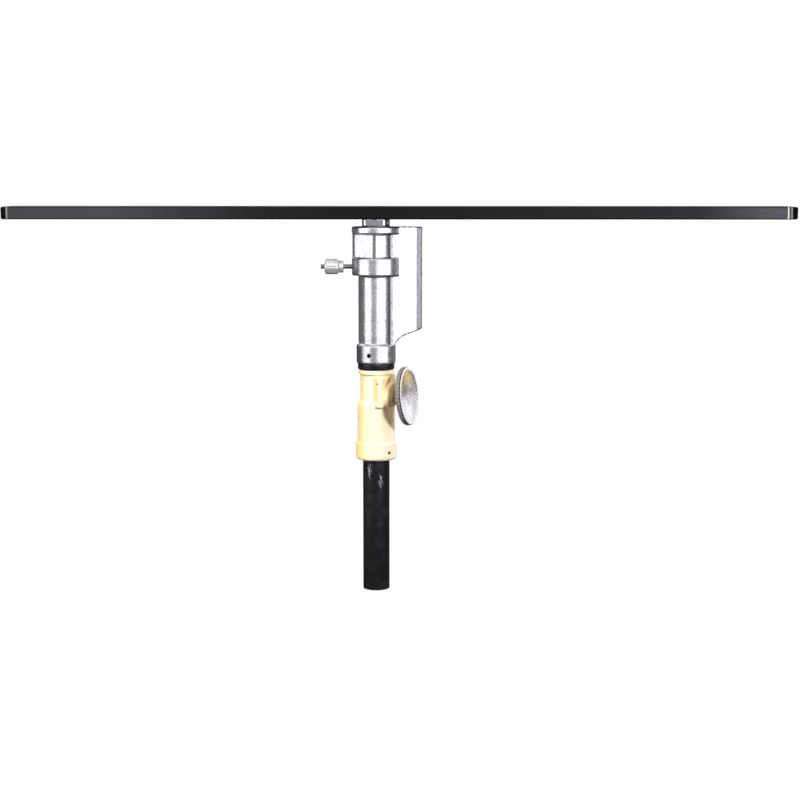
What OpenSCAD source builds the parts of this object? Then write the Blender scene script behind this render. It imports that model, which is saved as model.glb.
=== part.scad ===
// Upper end of a junior stand: lower tube, clamp collar, receiver head and a cross bar on a junior pin.
// Millimetres, +Z up, +X along the bar, -Y to the front. The origin is the middle of the lower tube's end.

/* [Lower tube] */
// Outside diameter of the painted lower tube
tube_d = 34.9; // [34:0.1:40]
// Wall of the lower tube
tube_wall = 1.65; // [1.2:0.05:2.2]
// Length of tube that shows below the collar
tube_show = 173.5; // [120:0.5:400]
// Depth, per side, that the tube is turned down inside the collar
tube_seat_step = 0.4; // [0.2:0.1:0.8]

/* [Riser] */
// Outside diameter of the riser tube
riser_d = 28.575; // [26:0.025:29]
// Wall of the riser tube
riser_wall = 1.65; // [1.2:0.05:2.5]
// Height of the riser's lower end above the lower tube's open end
riser_foot = 24; // [20:1:60]
// Depth that the riser goes into the head
riser_socket = 46; // [30:1:56]
// Height of the glide's flange under the riser
glide_flange = 14; // [8:1:18]
// Length of the glide's plug inside the riser
glide_plug = 20; // [10:1:40]
// Diameter of the hole through the glide
glide_hole_d = 12; // [6:0.5:18]

/* [Collar] */
// Diameter of the bottom band
band_d = 53.2; // [51:0.2:60]
// Height of the bottom band
band_h = 22.5; // [16:0.5:30]
// Diameter of the body
body_d = 48.6; // [47:0.2:50]
// Height of the body
body_h = 51; // [30:0.5:80]
// Height of the cone between body and neck
shoulder_h = 4; // [2:0.5:8]
// Diameter of the neck
neck_d = 41; // [40:0.5:46]
// Height of the neck
neck_h = 35; // [34:0.5:50]
// Diameter of the top lip
lip_d = 45.5; // [44:0.5:52]
// Height of the top lip
lip_h = 5.8; // [4:0.2:8]
// Radius of the band's lower edge
band_edge = 4; // [1:0.5:5]
// Radius of the other outer edges
collar_edge = 1.2; // [0.4:0.1:1.8]
// Wall of the nylon liner
liner_wall = 2.2; // [1.5:0.1:3]
// Depth of the liner's top below the collar's top
liner_drop = 1; // [0.5:0.1:3]
// Diameter of the pins that fix the collar on the tube
collar_pin_d = 3.2; // [2:0.1:5]
// Angle of the collar pins, from the front towards +X
collar_pin_turn = 41; // [0:1:90]
// Height of the collar pins above the band's lower edge
collar_pin_up = 10.6; // [6:0.2:12]
// Diameter of the pin that holds the liner
liner_pin_d = 2.5; // [1.5:0.1:3.5]
// Height of the liner pin above the neck's foot
liner_pin_up = 24.2; // [20:0.2:27]
// Distance of the liner pin from the tube's axis, along the block
liner_pin_out = 10.3; // [6:0.1:12]

/* [Clamp] */
// Angle of the clamp screw, from +X towards the front
clamp_turn = 18; // [0:1:40]
// Upward tilt of the clamp screw
clamp_rise = 6; // [0:0.5:8]
// Height of the clamp screw's line at the tube's axis, above the neck's foot
clamp_up = 2.5; // [2:0.5:8]
// Width of the clamp block
block_w = 55; // [50:0.5:60]
// Distance from the tube's axis to the block's near end
block_start = 2.5; // [0:0.1:5]
// Distance from the tube's axis to the block's far end
block_reach = 18.2; // [17.5:0.1:22]
// Depth of the block's underside below the neck's foot
block_low = 6.3; // [2:0.1:10]
// Height of the block's top above the neck's foot
block_high = 31.6; // [29:0.2:33]
// Cut-off corner at the block's near lower edge
block_cut = 5; // [1:0.5:6]
// Length of the slanted faces at the block's near end, along the clamp screw
block_slant_len = 9; // [5:0.1:10.5]
// Depth of the slanted faces at the block's near end
block_slant = 7.2; // [3:0.1:8.5]
// Radius of the block's upright edges at its far end
block_edge = 3; // [1:0.5:5]
// Diameter of the round boss
boss_d = 38.6; // [30:0.2:46]
// Distance from the tube's axis to the boss's end
boss_end = 26.4; // [25:0.2:31]
// Radius of the boss's rounded rim
boss_edge = 5; // [1:0.5:6]
// Diameter of the clamp screw
clamp_screw_d = 9.525; // [8:0.025:12]
// Diameter of the brass shoe
shoe_d = 16; // [13:0.5:18]
// Thickness of the shoe behind its hollow face
shoe_len = 3.6; // [3:0.1:4]
// Room behind the shoe for loosening
shoe_room = 2.9; // [2.6:0.1:3.2]
// Gap between the shoe and the riser
shoe_gap = 0.3; // [0.2:0.05:0.6]

/* [Disc knob] */
// Diameter of the disc knob
knob_d = 76; // [60:0.5:80]
// Distance from the tube's axis to the middle of the disc
knob_mid = 42.5; // [41:0.5:48]
// Thickness of the rim
knob_rim_t = 7.4; // [6:0.1:9]
// Width of the rim, seen on the face
knob_rim_w = 5.5; // [4:0.5:8]
// Thickness of the disc inside the rim
knob_web_t = 5; // [4:0.1:5.5]
// Diameter of the hub on the back
knob_hub_d = 19; // [16:0.5:24]
// Gap between the boss and the hub
knob_gap = 1.2; // [0.6:0.1:2]
// Diameter of the raised centre of the face
knob_centre_d = 22; // [14:0.5:30]
// Number of grooves round the rim
knob_grooves = 48; // [24:1:60]
// Radius of a rim groove
knob_groove_r = 1.1; // [0.6:0.1:1.6]
// Depth of a rim groove
knob_groove_depth = 0.55; // [0.3:0.05:0.6]
// Radius of the rim's edges
knob_edge = 1.5; // [0.5:0.1:2.5]
// Number of ribs on the face
knob_ribs = 18; // [8:1:24]
// Width of a face rib
knob_rib_w = 1.6; // [1:0.1:2.5]
// Diameter of the pin through the hub
knob_pin_d = 3; // [2:0.1:4]

/* [Bumper] */
// Diameter of the rubber bumper
bumper_d = 48; // [42:0.2:52]
// Height of the bumper
bumper_h = 8.6; // [6:0.2:14]
// Radius of the bumper's lower edge
bumper_edge = 2.4; // [0.8:0.1:3]
// Radius of the groove round the bumper
bumper_groove = 0.9; // [0.4:0.1:1.2]

/* [Receiver head] */
// Diameter of the bottom collar
head_collar_d = 51; // [48:0.2:58]
// Height of the bottom collar
head_collar_h = 24.2; // [18:0.2:32]
// Diameter of the barrel
barrel_d = 41.8; // [40:0.1:46]
// Height of the barrel between bottom collar and lock ring
lower_barrel_h = 89.8; // [80:0.2:130]
// Diameter of the lock ring
lock_ring_d = 62.1; // [56:0.1:68]
// Height of the lock ring
lock_ring_h = 22.3; // [16:0.1:30]
// Height of the barrel between lock ring and top flange
upper_barrel_h = 31.5; // [24:0.5:50]
// Diameter of the top flange
flange_d = 62.5; // [56:0.5:70]
// Height of the top flange
flange_h = 8.8; // [6:0.2:12]
// Radius of the casting's outer edges
head_edge = 1.2; // [0.5:0.1:2.5]
// Radius of the casting's inner corners
head_fillet = 4; // [1:0.5:5]
// Distance from the axis to the web's outer edge
web_reach = 59.8; // [52:0.2:75]
// Thickness of the web
web_t = 19; // [16:0.5:24]
// Height of the web's outer edge
web_h = 132; // [110:1:140]
// Slope of the web's lower edge
web_slope = 20; // [5:1:30]
// Radius where the web's lower edge runs into the barrel
web_fillet = 28; // [15:1:32]
// Width of the chamfers along the web's outer edge, seen from the front
web_edge = 8.4; // [2:0.2:10]
// Depth of these chamfers into the web's thickness
web_edge_depth = 7; // [1:0.1:7.5]
// Angle of the raised pad, from the front towards -X
pad_turn = 45; // [20:1:70]
// Distance from the axis to the pad's face
pad_out = 23.7; // [22.5:0.1:26]
// Width of the pad
pad_w = 33.8; // [20:0.2:35]
// Diameter of the spring pin that fixes the head
head_pin_d = 5.5; // [4:0.1:7]
// Wall of the spring pin
head_pin_wall = 1.1; // [0.8:0.1:1.4]
// Angle of the spring pin, from the front towards -X
head_pin_turn = 21; // [0:1:60]
// Height of the spring pin above the head's underside
head_pin_up = 11; // [8:0.5:16]
// Depth of pin ends below the surface
pin_sink = 1; // [0.3:0.1:2]

/* [Lock screw] */
// Diameter of the lock screw
lock_d = 6.35; // [5:0.05:8]
// Length of the brass tip
tip_len = 3.6; // [2.5:0.1:6]
// Gap between the tip and the junior pin
tip_gap = 0.3; // [0.2:0.05:0.6]
// Bare shank between the lock ring and the barrel knob
lock_shank = 11; // [6:0.5:20]
// Diameter of the barrel knob
lock_knob_d = 20; // [16:0.1:28]
// Length of the barrel knob
lock_knob_len = 24.4; // [18:0.2:40]
// Diameter of the knob's neck
lock_neck_d = 15.7; // [12:0.1:15.8]
// Length of the knob's neck
lock_neck_len = 6; // [3:0.5:9]
// Length of the screw's end beyond the knob
lock_nub = 5.2; // [2:0.2:8]
// Number of flutes round the knob
lock_flutes = 10; // [6:1:12]
// Radius of a flute
lock_flute_r = 2.4; // [1.5:0.1:2.6]
// Depth of a flute
lock_flute_depth = 1; // [0.5:0.1:1.4]
// Radius of the barrel's edges
lock_edge = 1.8; // [0.5:0.1:2.5]
// Diameter of the pin through the knob's neck
lock_pin_d = 2.4; // [1.5:0.1:3]

/* [Junior pin] */
// Diameter of the junior pin
spigot_d = 28.575; // [26:0.025:29]
// Length of the pin below the bar
spigot_len = 116; // [80:1:118]
// Chamfer at the pin's lower end
spigot_chamfer = 2; // [0.5:0.1:4]
// Free depth under the pin
spigot_room = 4; // [1:0.5:6]
// Diameter of the pin's shoulder under the bar
seat_d = 36; // [34:0.1:46]
// Height of the pin's shoulder
seat_len = 8.4; // [6:0.2:12]
// Width across the shoulder's two wrench flats
seat_key = 25.4; // [24:0.1:30]
// Angle of the wrench flats, from the front towards -X
seat_key_turn = 9; // [0:1:45]
// Full round left above and below the wrench flats
seat_rim = 1.2; // [0.8:0.1:2]
// Diameter of the thrust ring under the shoulder
ring_d = 36; // [34:0.1:46]
// Height of the thrust ring
ring_h = 1.6; // [1.2:0.1:3]
// Radius of the ring's and the shoulder's edges
ring_edge = 0.5; // [0.2:0.1:0.6]
// Diameter of the bolt through the bar
bolt_d = 9.525; // [8:0.025:10]
// Diameter of the bolt's countersunk head
bolt_head_d = 18.5; // [16:0.1:20]
// Length of the bolt
bolt_len = 45; // [30:1:60]
// Width across flats of the bolt's socket
bolt_key = 5.56; // [4:0.02:7]
// Depth of the bolt's socket
bolt_key_depth = 4.5; // [3:0.1:6]
// Depth of the bolt head below the bar's top
bolt_sink = 0.4; // [0.2:0.1:1]
// Diameter of the dowels between bar and pin
dowel_d = 4.8; // [3:0.1:5]
// Length of the dowels
dowel_len = 20; // [12:1:24]
// Distance between the dowels
dowel_step = 20.5; // [18.5:0.1:21]

/* [Bar] */
// Length of the bar
bar_len = 1016; // [900:1:1300]
// Depth of the bar, front to back
bar_w = 76.2; // [66:0.1:120]
// Thickness of the bar
bar_t = 15.9; // [12:0.1:24]
// Distance from the pin to the bar's middle
bar_shift = 30.2; // [-30:0.2:31]
// Radius of the bar's corners, seen from above
bar_corner = 10.5; // [3:0.5:15]
// Chamfer of the bar's edges
bar_edge = 1.5; // [0.3:0.1:2]
// Diameter of the tapped holes
bar_hole_d = 7.94; // [5:0.02:12]
// Number of tapped holes on each side of the pin
bar_hole_count = 4; // [1:1:4]
// Distance between the tapped holes
bar_hole_step = 101.6; // [60:0.1:102]

/* [Fits] */
// Radial clearance of pieces that turn or slide
run_fit = 0.06; // [0.02:0.01:0.1]
// Radial clearance of pieces that are fixed
seat_fit = 0.05; // [0.02:0.01:0.1]

/* [Hidden] */

$fn = 64;
// Overshoot of cutting shapes
over = 1;
// Radius of small turned edges
small_edge = 0.8;

// Heights of the collar's steps, from the lower tube's open end
band_z = tube_show;
body_z = band_z + band_h;
shoulder_z = body_z + body_h;
neck_z = shoulder_z + shoulder_h;
lip_z = neck_z + neck_h;
collar_top = lip_z + lip_h;
clamp_z = neck_z + clamp_up;

// Heights of the head's steps
head_z = collar_top + bumper_h;
lower_barrel_z = head_z + head_collar_h;
lock_ring_z = lower_barrel_z + lower_barrel_h;
upper_barrel_z = lock_ring_z + lock_ring_h;
flange_z = upper_barrel_z + upper_barrel_h;
head_top = flange_z + flange_h;
lock_z = lock_ring_z + lock_ring_h / 2;
seat_z = head_top + ring_h;
bar_z = seat_z + seat_len;
bar_top = bar_z + bar_t;

// Radii that fit one another
tube_bore_r = tube_d / 2 - tube_wall;
tube_seat_r = tube_d / 2 - tube_seat_step;
riser_r = riser_d / 2;
riser_bore_r = riser_r - riser_wall;
liner_r = riser_r + run_fit + liner_wall;
barrel_r = barrel_d / 2;
spigot_r = spigot_d / 2;
lock_r = lock_d / 2;

// Distances along the clamp screw
shoe_out = riser_r + shoe_gap + shoe_len;
shoe_bore_end = shoe_out + shoe_room;
hub_start = boss_end + knob_gap;
web_back = knob_mid - knob_web_t / 2;
web_front = knob_mid + knob_web_t / 2;
knob_pin_at = (hub_start + web_back) / 2;

// Distances along the lock screw, out from the head's axis
tip_in = spigot_r + tip_gap;
tip_out = tip_in + tip_len;
lock_knob_in = lock_ring_d / 2 + lock_shank;
lock_knob_out = lock_knob_in + lock_knob_len;
lock_flute_from = lock_knob_in + lock_neck_len;

// Where the web's lower edge meets its fillet
web_foot = head_top - web_h;
fillet_x = barrel_r + web_fillet;
fillet_z = web_foot - (web_reach - fillet_x) * tan(web_slope) - web_fillet / cos(web_slope);
web_inner_z = web_foot - (web_reach - barrel_r) * tan(web_slope);

// Area that rounds off a corner pointing outwards and up
module corner_up(x, y, r) {
    translate([x - r, y - r])
        difference() {
            square(2 * r);
            circle(r);
        }
}

// Area that rounds off a corner pointing outwards and down
module corner_down(x, y, r) {
    translate([0, y])
        mirror([0, 1])
            corner_up(x, 0, r);
}

// Half section of a turned disc with rounded outer edges
module disc_section(d, z, h, low, high) {
    difference() {
        translate([0, z])
            square([d / 2, h]);
        if (low > 0)
            corner_down(d / 2, z, low);
        if (high > 0)
            corner_up(d / 2, z + h, high);
    }
}

// Half section of a fillet between a wall of radius r and a face at z that looks up
module fillet_section(r, z, f) {
    difference() {
        translate([r - over, z - over])
            square(f + over);
        translate([r + f, z + f])
            circle(f);
    }
}

// The same fillet under a face that looks down
module fillet_section_under(r, z, f) {
    translate([0, z])
        mirror([0, 1])
            fillet_section(r, 0, f);
}

// Upright bore from z up
module bore(r, z, h) {
    translate([0, 0, z])
        cylinder(r = r, h = h);
}

// Places a shape drawn along +Z so that it runs out along the clamp screw
module along_clamp() {
    translate([0, 0, clamp_z])
        rotate([0, 90 - clamp_rise, -clamp_turn])
            children();
}

// Places a shape drawn along +Z so that it runs out along the lock screw
module along_lock() {
    translate([0, 0, lock_z])
        rotate([0, -90, 0])
            children();
}

// Level round bar through the axis, turned from the front towards +X
module level_rod(r, z, turn, from, to) {
    translate([0, 0, z])
        rotate([90, 0, turn])
            translate([0, 0, from])
                cylinder(r = r, h = to - from);
}

module outer_tube() {
    color("#1b1b1d")
        difference() {
            union() {
                bore(tube_d / 2, 0, band_z);
                bore(tube_seat_r, band_z - over, shoulder_z - band_z + over);
            }
            bore(tube_bore_r, -over, shoulder_z + 2 * over);
            collar_pin_holes();
        }
}

module collar_section() {
    disc_section(band_d, band_z, band_h, band_edge, collar_edge);
    disc_section(body_d, body_z - over, body_h + over, 0, 0);
    polygon([
        [0, shoulder_z],
        [body_d / 2, shoulder_z],
        [neck_d / 2, neck_z],
        [0, neck_z]
    ]);
    translate([0, neck_z - over])
        square([neck_d / 2, neck_h + 2 * over]);
    disc_section(lip_d, lip_z, lip_h, collar_edge, collar_edge);
}

// Distance of the block's side from the clamp screw's plane, at a distance u along the screw
function block_side(u) = block_w / 2 - block_slant * max(0, 1 - (u - block_start) / block_slant_len);

// Block that carries the clamp screw: slanted sides at its near end, rounded upright edges at its far end
module clamp_block() {
    low = neck_z - block_low;
    high = neck_z + block_high;
    half = block_w / 2;
    near_half = block_side(block_start);
    straight = block_start + block_slant_len;
    rotate([0, 0, -clamp_turn])
        intersection() {
            rotate([90, 0, 0])
                linear_extrude(block_w + 2 * over, center = true)
                    polygon([
                        [block_start + block_cut, low],
                        [block_reach, low],
                        [block_reach, high],
                        [block_start, high],
                        [block_start, low + block_cut]
                    ]);
            translate([0, 0, low - over])
                linear_extrude(high - low + 2 * over) {
                    polygon([
                        [block_start - over, -near_half],
                        [block_start, -near_half],
                        [straight, -half],
                        [block_reach - block_edge, -half],
                        [block_reach - block_edge, half],
                        [straight, half],
                        [block_start, near_half],
                        [block_start - over, near_half]
                    ]);
                    translate([straight, -half + block_edge])
                        square([block_reach + over - straight, block_w - 2 * block_edge]);
                    for (side = [-1, 1])
                        translate([block_reach - block_edge, side * (half - block_edge)])
                            circle(block_edge);
                }
        }
}

// Round boss, cut flat a little above the block's underside
module clamp_boss() {
    intersection() {
        along_clamp()
            rotate_extrude()
                disc_section(boss_d, riser_r + over, boss_end - riser_r - over, 0, boss_edge);
        translate([0, -boss_d, neck_z - block_low + small_edge])
            cube([2 * boss_end, 2 * boss_d, 2 * boss_d]);
    }
}

module collar_pin_holes() {
    for (side = [0, 180])
        level_rod(collar_pin_d / 2 + seat_fit, band_z + collar_pin_up, collar_pin_turn + side, 0, band_d);
}

module collar_casting() {
    color("#f5dd9a")
        difference() {
            union() {
                rotate_extrude()
                    collar_section();
                clamp_block();
                clamp_boss();
            }
            bore(tube_seat_r + seat_fit, band_z - over, shoulder_z - band_z + over);
            bore(liner_r + seat_fit, shoulder_z - over, collar_top - shoulder_z + 2 * over);
            along_clamp() {
                cylinder(r = shoe_d / 2 + run_fit, h = shoe_bore_end);
                cylinder(r = clamp_screw_d / 2 + run_fit, h = boss_end + over);
            }
            collar_pin_holes();
            liner_pin_hole();
        }
}

// Short pins, so that the riser and its glide pass between them
module collar_pins() {
    color("#4a4a4c")
        for (side = [0, 180])
            level_rod(collar_pin_d / 2, band_z + collar_pin_up, collar_pin_turn + side,
                tube_bore_r + 0.5 * tube_wall, band_d / 2 - pin_sink);
}

module collar_liner() {
    color("#e9e6dc")
        difference() {
            bore(liner_r, shoulder_z, collar_top - liner_drop - shoulder_z);
            bore(riser_r + run_fit, shoulder_z - over, collar_top - shoulder_z + over);
            along_clamp()
                cylinder(r = shoe_d / 2 + run_fit, h = shoe_bore_end);
            liner_pin_hole();
        }
}

// Runs in from the block's slanted front face to the middle of the liner's wall
module liner_pin_shape(r, to) {
    liner_mid = riser_r + run_fit + liner_wall / 2;
    from = sqrt(liner_mid * liner_mid - liner_pin_out * liner_pin_out);
    rotate([0, 0, -clamp_turn])
        translate([liner_pin_out, -from, neck_z + liner_pin_up])
            rotate([90, 0, 0])
                cylinder(r = r, h = to - from);
}

module liner_pin_hole() {
    liner_pin_shape(liner_pin_d / 2 + seat_fit, block_w / 2 + over);
}

module liner_pin() {
    color("#4a4a4c")
        liner_pin_shape(liner_pin_d / 2, block_side(liner_pin_out - liner_pin_d / 2) - pin_sink / 2);
}

module riser_glide() {
    color("#e9e6dc")
        difference() {
            union() {
                bore(tube_bore_r - run_fit, riser_foot - glide_flange, glide_flange);
                bore(riser_bore_r - run_fit, riser_foot - over, glide_plug + over);
            }
            bore(glide_hole_d / 2, riser_foot - glide_flange - over, glide_flange + glide_plug + 2 * over);
        }
}

module riser_tube() {
    color("#c9cacc")
        difference() {
            bore(riser_r, riser_foot, head_z + riser_socket - riser_foot);
            bore(riser_bore_r, riser_foot - over, head_z + riser_socket - riser_foot + 2 * over);
            head_pin_hole();
        }
}

module head_section() {
    disc_section(head_collar_d, head_z, head_collar_h, head_edge, head_edge);
    translate([0, head_z + over])
        square([barrel_r, head_top - head_z - 2 * over]);
    disc_section(lock_ring_d, lock_ring_z, lock_ring_h, head_edge, head_edge);
    disc_section(flange_d, flange_z, flange_h, head_edge, head_edge);
    fillet_section(barrel_r, lower_barrel_z, min(head_fillet, (head_collar_d - barrel_d) / 2 - head_edge));
    fillet_section_under(barrel_r, lock_ring_z, head_fillet);
    fillet_section(barrel_r, upper_barrel_z, head_fillet);
    fillet_section_under(barrel_r, flange_z, head_fillet);
}

// Side view of the web: straight outer edge, sloping lower edge and a round run into the barrel
module web_side() {
    polygon([
        [0, head_top],
        [web_reach, head_top],
        [web_reach, web_foot],
        [barrel_r, web_inner_z],
        [0, web_inner_z]
    ]);
    difference() {
        polygon([
            [fillet_x - web_fillet * sin(web_slope), fillet_z + web_fillet * cos(web_slope)],
            [barrel_r, web_inner_z + over],
            [0, web_inner_z + over],
            [0, fillet_z],
            [barrel_r, fillet_z]
        ]);
        translate([fillet_x, fillet_z])
            circle(web_fillet, $fn = 96);
    }
}

module web() {
    half = web_t / 2;
    outer_half = max(half - web_edge_depth, small_edge);
    intersection() {
        rotate([90, 0, 0])
            linear_extrude(web_t + 2 * over, center = true)
                web_side();
        translate([0, 0, head_z])
            linear_extrude(head_top + over - head_z)
                polygon([
                    [0, -half],
                    [web_reach - web_edge, -half],
                    [web_reach, -outer_half],
                    [web_reach, outer_half],
                    [web_reach - web_edge, half],
                    [0, half]
                ]);
    }
}

// Raised pad between lock ring and flange
module pad() {
    rotate([0, 0, -90 - pad_turn])
        translate([0, -pad_w / 2, upper_barrel_z - over])
            cube([pad_out, pad_w, upper_barrel_h + 2 * over]);
}

module head_pin_hole() {
    r = head_pin_d / 2 + seat_fit;
    level_rod(r, head_z + head_pin_up, -head_pin_turn, -head_collar_d, head_collar_d);
}

module head_casting() {
    receiver_depth = spigot_len - seat_len - ring_h + spigot_room;
    color("#b9babc")
        difference() {
            union() {
                rotate_extrude()
                    head_section();
                web();
                pad();
            }
            bore(spigot_r + run_fit, head_top - receiver_depth, receiver_depth + over);
            bore(riser_r + seat_fit, head_z - over, riser_socket + over);
            along_lock()
                cylinder(r = lock_r + run_fit, h = lock_ring_d);
            head_pin_hole();
        }
}

// Rolled spring pin with its open seam
module head_pin() {
    half = head_collar_d / 2 - pin_sink;
    inner = head_pin_d / 2 - head_pin_wall;
    color("#3c3c3e")
        difference() {
            level_rod(head_pin_d / 2, head_z + head_pin_up, -head_pin_turn, -half, half);
            level_rod(inner, head_z + head_pin_up, -head_pin_turn, -half - over, half + over);
            translate([0, 0, head_z + head_pin_up])
                rotate([0, 0, -head_pin_turn])
                    translate([-head_pin_wall / 2, -half - over, 0])
                        cube([head_pin_wall, 2 * half + 2 * over, head_pin_d]);
        }
}

// Rubber ring with a rounded lower edge and a groove round its rim
module bumper_ring() {
    color("#161616")
        difference() {
            rotate_extrude()
                difference() {
                    disc_section(bumper_d, collar_top, bumper_h, bumper_edge, small_edge);
                    translate([bumper_d / 2, collar_top + bumper_h / 2])
                        circle(bumper_groove);
                }
            bore(riser_r + seat_fit, collar_top - over, bumper_h + 2 * over);
        }
}

module clamp_shoe() {
    color("#b8923f")
        difference() {
            along_clamp()
                translate([0, 0, riser_r / 2])
                    cylinder(r = shoe_d / 2, h = shoe_out - riser_r / 2);
            bore(riser_r + shoe_gap, clamp_z - shoe_d, 2 * shoe_d);
        }
}

module knob_pin_hole(r, half) {
    along_clamp()
        translate([0, 0, knob_pin_at])
            rotate([90, 0, 0])
                cylinder(r = r, h = 2 * half, center = true);
}

module clamp_screw() {
    color("#8d8f92")
        difference() {
            along_clamp()
                translate([0, 0, shoe_out])
                    cylinder(r = clamp_screw_d / 2, h = knob_mid - shoe_out);
            knob_pin_hole(knob_pin_d / 2 + seat_fit, knob_hub_d);
        }
}

module knob_section() {
    rim_in = knob_d / 2 - knob_rim_w;
    disc_section(knob_hub_d, hub_start, web_back - hub_start + over, small_edge, 0);
    translate([0, web_back])
        square([rim_in + over, knob_web_t]);
    disc_section(knob_centre_d, web_back, (knob_rim_t + knob_web_t) / 2, 0, small_edge);
    difference() {
        translate([rim_in, knob_mid - knob_rim_t / 2])
            square([knob_rim_w, knob_rim_t]);
        corner_up(knob_d / 2, knob_mid + knob_rim_t / 2, knob_edge);
        corner_down(knob_d / 2, knob_mid - knob_rim_t / 2, knob_edge);
    }
}

// Cast disc with a grooved rim and radial ribs on its face
module clamp_knob() {
    rib_len = (knob_d - 2 * knob_rim_w - knob_centre_d) / 2 + 2 * over;
    rib_t = (knob_rim_t - knob_web_t) / 4;
    groove_at = knob_d / 2 + knob_groove_r - knob_groove_depth;
    color("#a9a7a2")
        difference() {
            along_clamp()
                difference() {
                    union() {
                        rotate_extrude()
                            knob_section();
                        for (i = [0 : knob_ribs - 1])
                            rotate([0, 0, i * 360 / knob_ribs])
                                translate([knob_centre_d / 2 - over, -knob_rib_w / 2, web_front - over])
                                    cube([rib_len, knob_rib_w, rib_t + over]);
                    }
                    for (i = [0 : knob_grooves - 1])
                        rotate([0, 0, i * 360 / knob_grooves])
                            translate([groove_at, 0, knob_mid - knob_rim_t])
                                cylinder(r = knob_groove_r, h = 2 * knob_rim_t, $fn = 16);
                    cylinder(r = clamp_screw_d / 2 + seat_fit, h = knob_mid);
                }
            knob_pin_hole(knob_pin_d / 2 + seat_fit, knob_hub_d);
        }
}

module knob_pin() {
    color("#4a4a4c")
        knob_pin_hole(knob_pin_d / 2, knob_hub_d / 2 - pin_sink);
}

module lock_tip() {
    color("#b8923f")
        along_lock()
            translate([0, 0, tip_in])
                cylinder(r = lock_r, h = tip_len);
}

module lock_pin_hole(r, half) {
    along_lock()
        translate([0, 0, lock_knob_in + lock_neck_len / 2])
            rotate([90, 0, 0])
                cylinder(r = r, h = 2 * half, center = true);
}

module lock_screw() {
    color("#a4a6a9")
        difference() {
            along_lock()
                rotate_extrude()
                    disc_section(lock_d, tip_out, lock_knob_out + lock_nub - tip_out, 0, small_edge);
            lock_pin_hole(lock_pin_d / 2 + seat_fit, lock_neck_d);
        }
}

// Fluted barrel with a plain neck
module lock_knob() {
    barrel_len = lock_knob_out - lock_flute_from;
    flute_at = lock_knob_d / 2 + lock_flute_r - lock_flute_depth;
    color("#b4b5b7")
        difference() {
            along_lock()
                difference() {
                    rotate_extrude() {
                        disc_section(lock_neck_d, lock_knob_in, lock_neck_len + over, small_edge, 0);
                        disc_section(lock_knob_d, lock_flute_from, barrel_len, lock_edge, lock_edge);
                    }
                    for (i = [0 : lock_flutes - 1])
                        rotate([0, 0, i * 360 / lock_flutes])
                            translate([flute_at, 0, lock_flute_from - over])
                                cylinder(r = lock_flute_r, h = lock_knob_len, $fn = 24);
                    translate([0, 0, lock_knob_in - over])
                        cylinder(r = lock_r + seat_fit, h = lock_knob_len + 2 * over);
                }
            lock_pin_hole(lock_pin_d / 2 + seat_fit, lock_neck_d);
        }
}

module lock_pin() {
    color("#4a4a4c")
        lock_pin_hole(lock_pin_d / 2, lock_neck_d / 2 - pin_sink / 2);
}

module thrust_ring() {
    color("#d2d3d5")
        difference() {
            rotate_extrude()
                disc_section(ring_d, head_top, ring_h, ring_edge, ring_edge);
            bore(spigot_r + run_fit, head_top - over, ring_h + 2 * over);
        }
}

module dowels(r) {
    for (side = [-1, 1])
        translate([side * dowel_step / 2, 0, bar_z - dowel_len / 2])
            cylinder(r = r, h = dowel_len);
}

// Plain pin with a shoulder under the bar, which has two wrench flats
module spigot_pin() {
    foot = bar_z - spigot_len;
    color("#c4c6c8")
        difference() {
            union() {
                bore(spigot_r, foot + spigot_chamfer, spigot_len - spigot_chamfer);
                translate([0, 0, foot])
                    cylinder(r1 = spigot_r - spigot_chamfer, r2 = spigot_r, h = spigot_chamfer);
                rotate_extrude()
                    disc_section(seat_d, seat_z, seat_len, ring_edge, ring_edge);
            }
            for (side = [0, 180])
                rotate([0, 0, side - seat_key_turn])
                    translate([-seat_d, -seat_d, seat_z + seat_rim])
                        cube([2 * seat_d, seat_d - seat_key / 2, seat_len - 2 * seat_rim]);
            bore(bolt_d / 2 + seat_fit, bar_top - bolt_len - over, bolt_len);
            dowels(dowel_d / 2 + seat_fit);
        }
}

// Countersunk shape of the bolt's head and shank, grown by a clearance
module bolt_shape(clear) {
    head_h = (bolt_head_d - bolt_d) / 2;
    top = bar_top - bolt_sink;
    bore(bolt_d / 2 + clear, bar_top - bolt_len, bolt_len - bolt_sink);
    translate([0, 0, top - head_h])
        cylinder(r1 = bolt_d / 2 + clear, r2 = bolt_head_d / 2 + clear, h = head_h);
}

module spigot_bolt() {
    top = bar_top - bolt_sink;
    color("#2a2a2c")
        difference() {
            bolt_shape(0);
            translate([0, 0, top - bolt_key_depth])
                cylinder(d = bolt_key / cos(30), h = bolt_key_depth + over, $fn = 6);
        }
}

module spigot_dowels() {
    color("#8d8f92")
        dowels(dowel_d / 2);
}

// Section of the bar with chamfered edges
module bar_section(width) {
    half = width / 2;
    polygon([
        [-half + bar_edge, bar_z],
        [half - bar_edge, bar_z],
        [half, bar_z + bar_edge],
        [half, bar_top - bar_edge],
        [half - bar_edge, bar_top],
        [-half + bar_edge, bar_top],
        [-half, bar_top - bar_edge],
        [-half, bar_z + bar_edge]
    ]);
}

module bar_blank() {
    rotate([90, 0, 90])
        linear_extrude(bar_len - 2 * bar_corner, center = true)
            bar_section(bar_w);
    rotate([90, 0, 0])
        linear_extrude(bar_w - 2 * bar_corner, center = true)
            bar_section(bar_len);
    for (x = [-1, 1], y = [-1, 1])
        translate([x * (bar_len / 2 - bar_corner), y * (bar_w / 2 - bar_corner), 0])
            rotate_extrude()
                intersection() {
                    bar_section(2 * bar_corner);
                    translate([0, bar_z - over])
                        square([bar_corner, bar_t + 2 * over]);
                }
}

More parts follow.
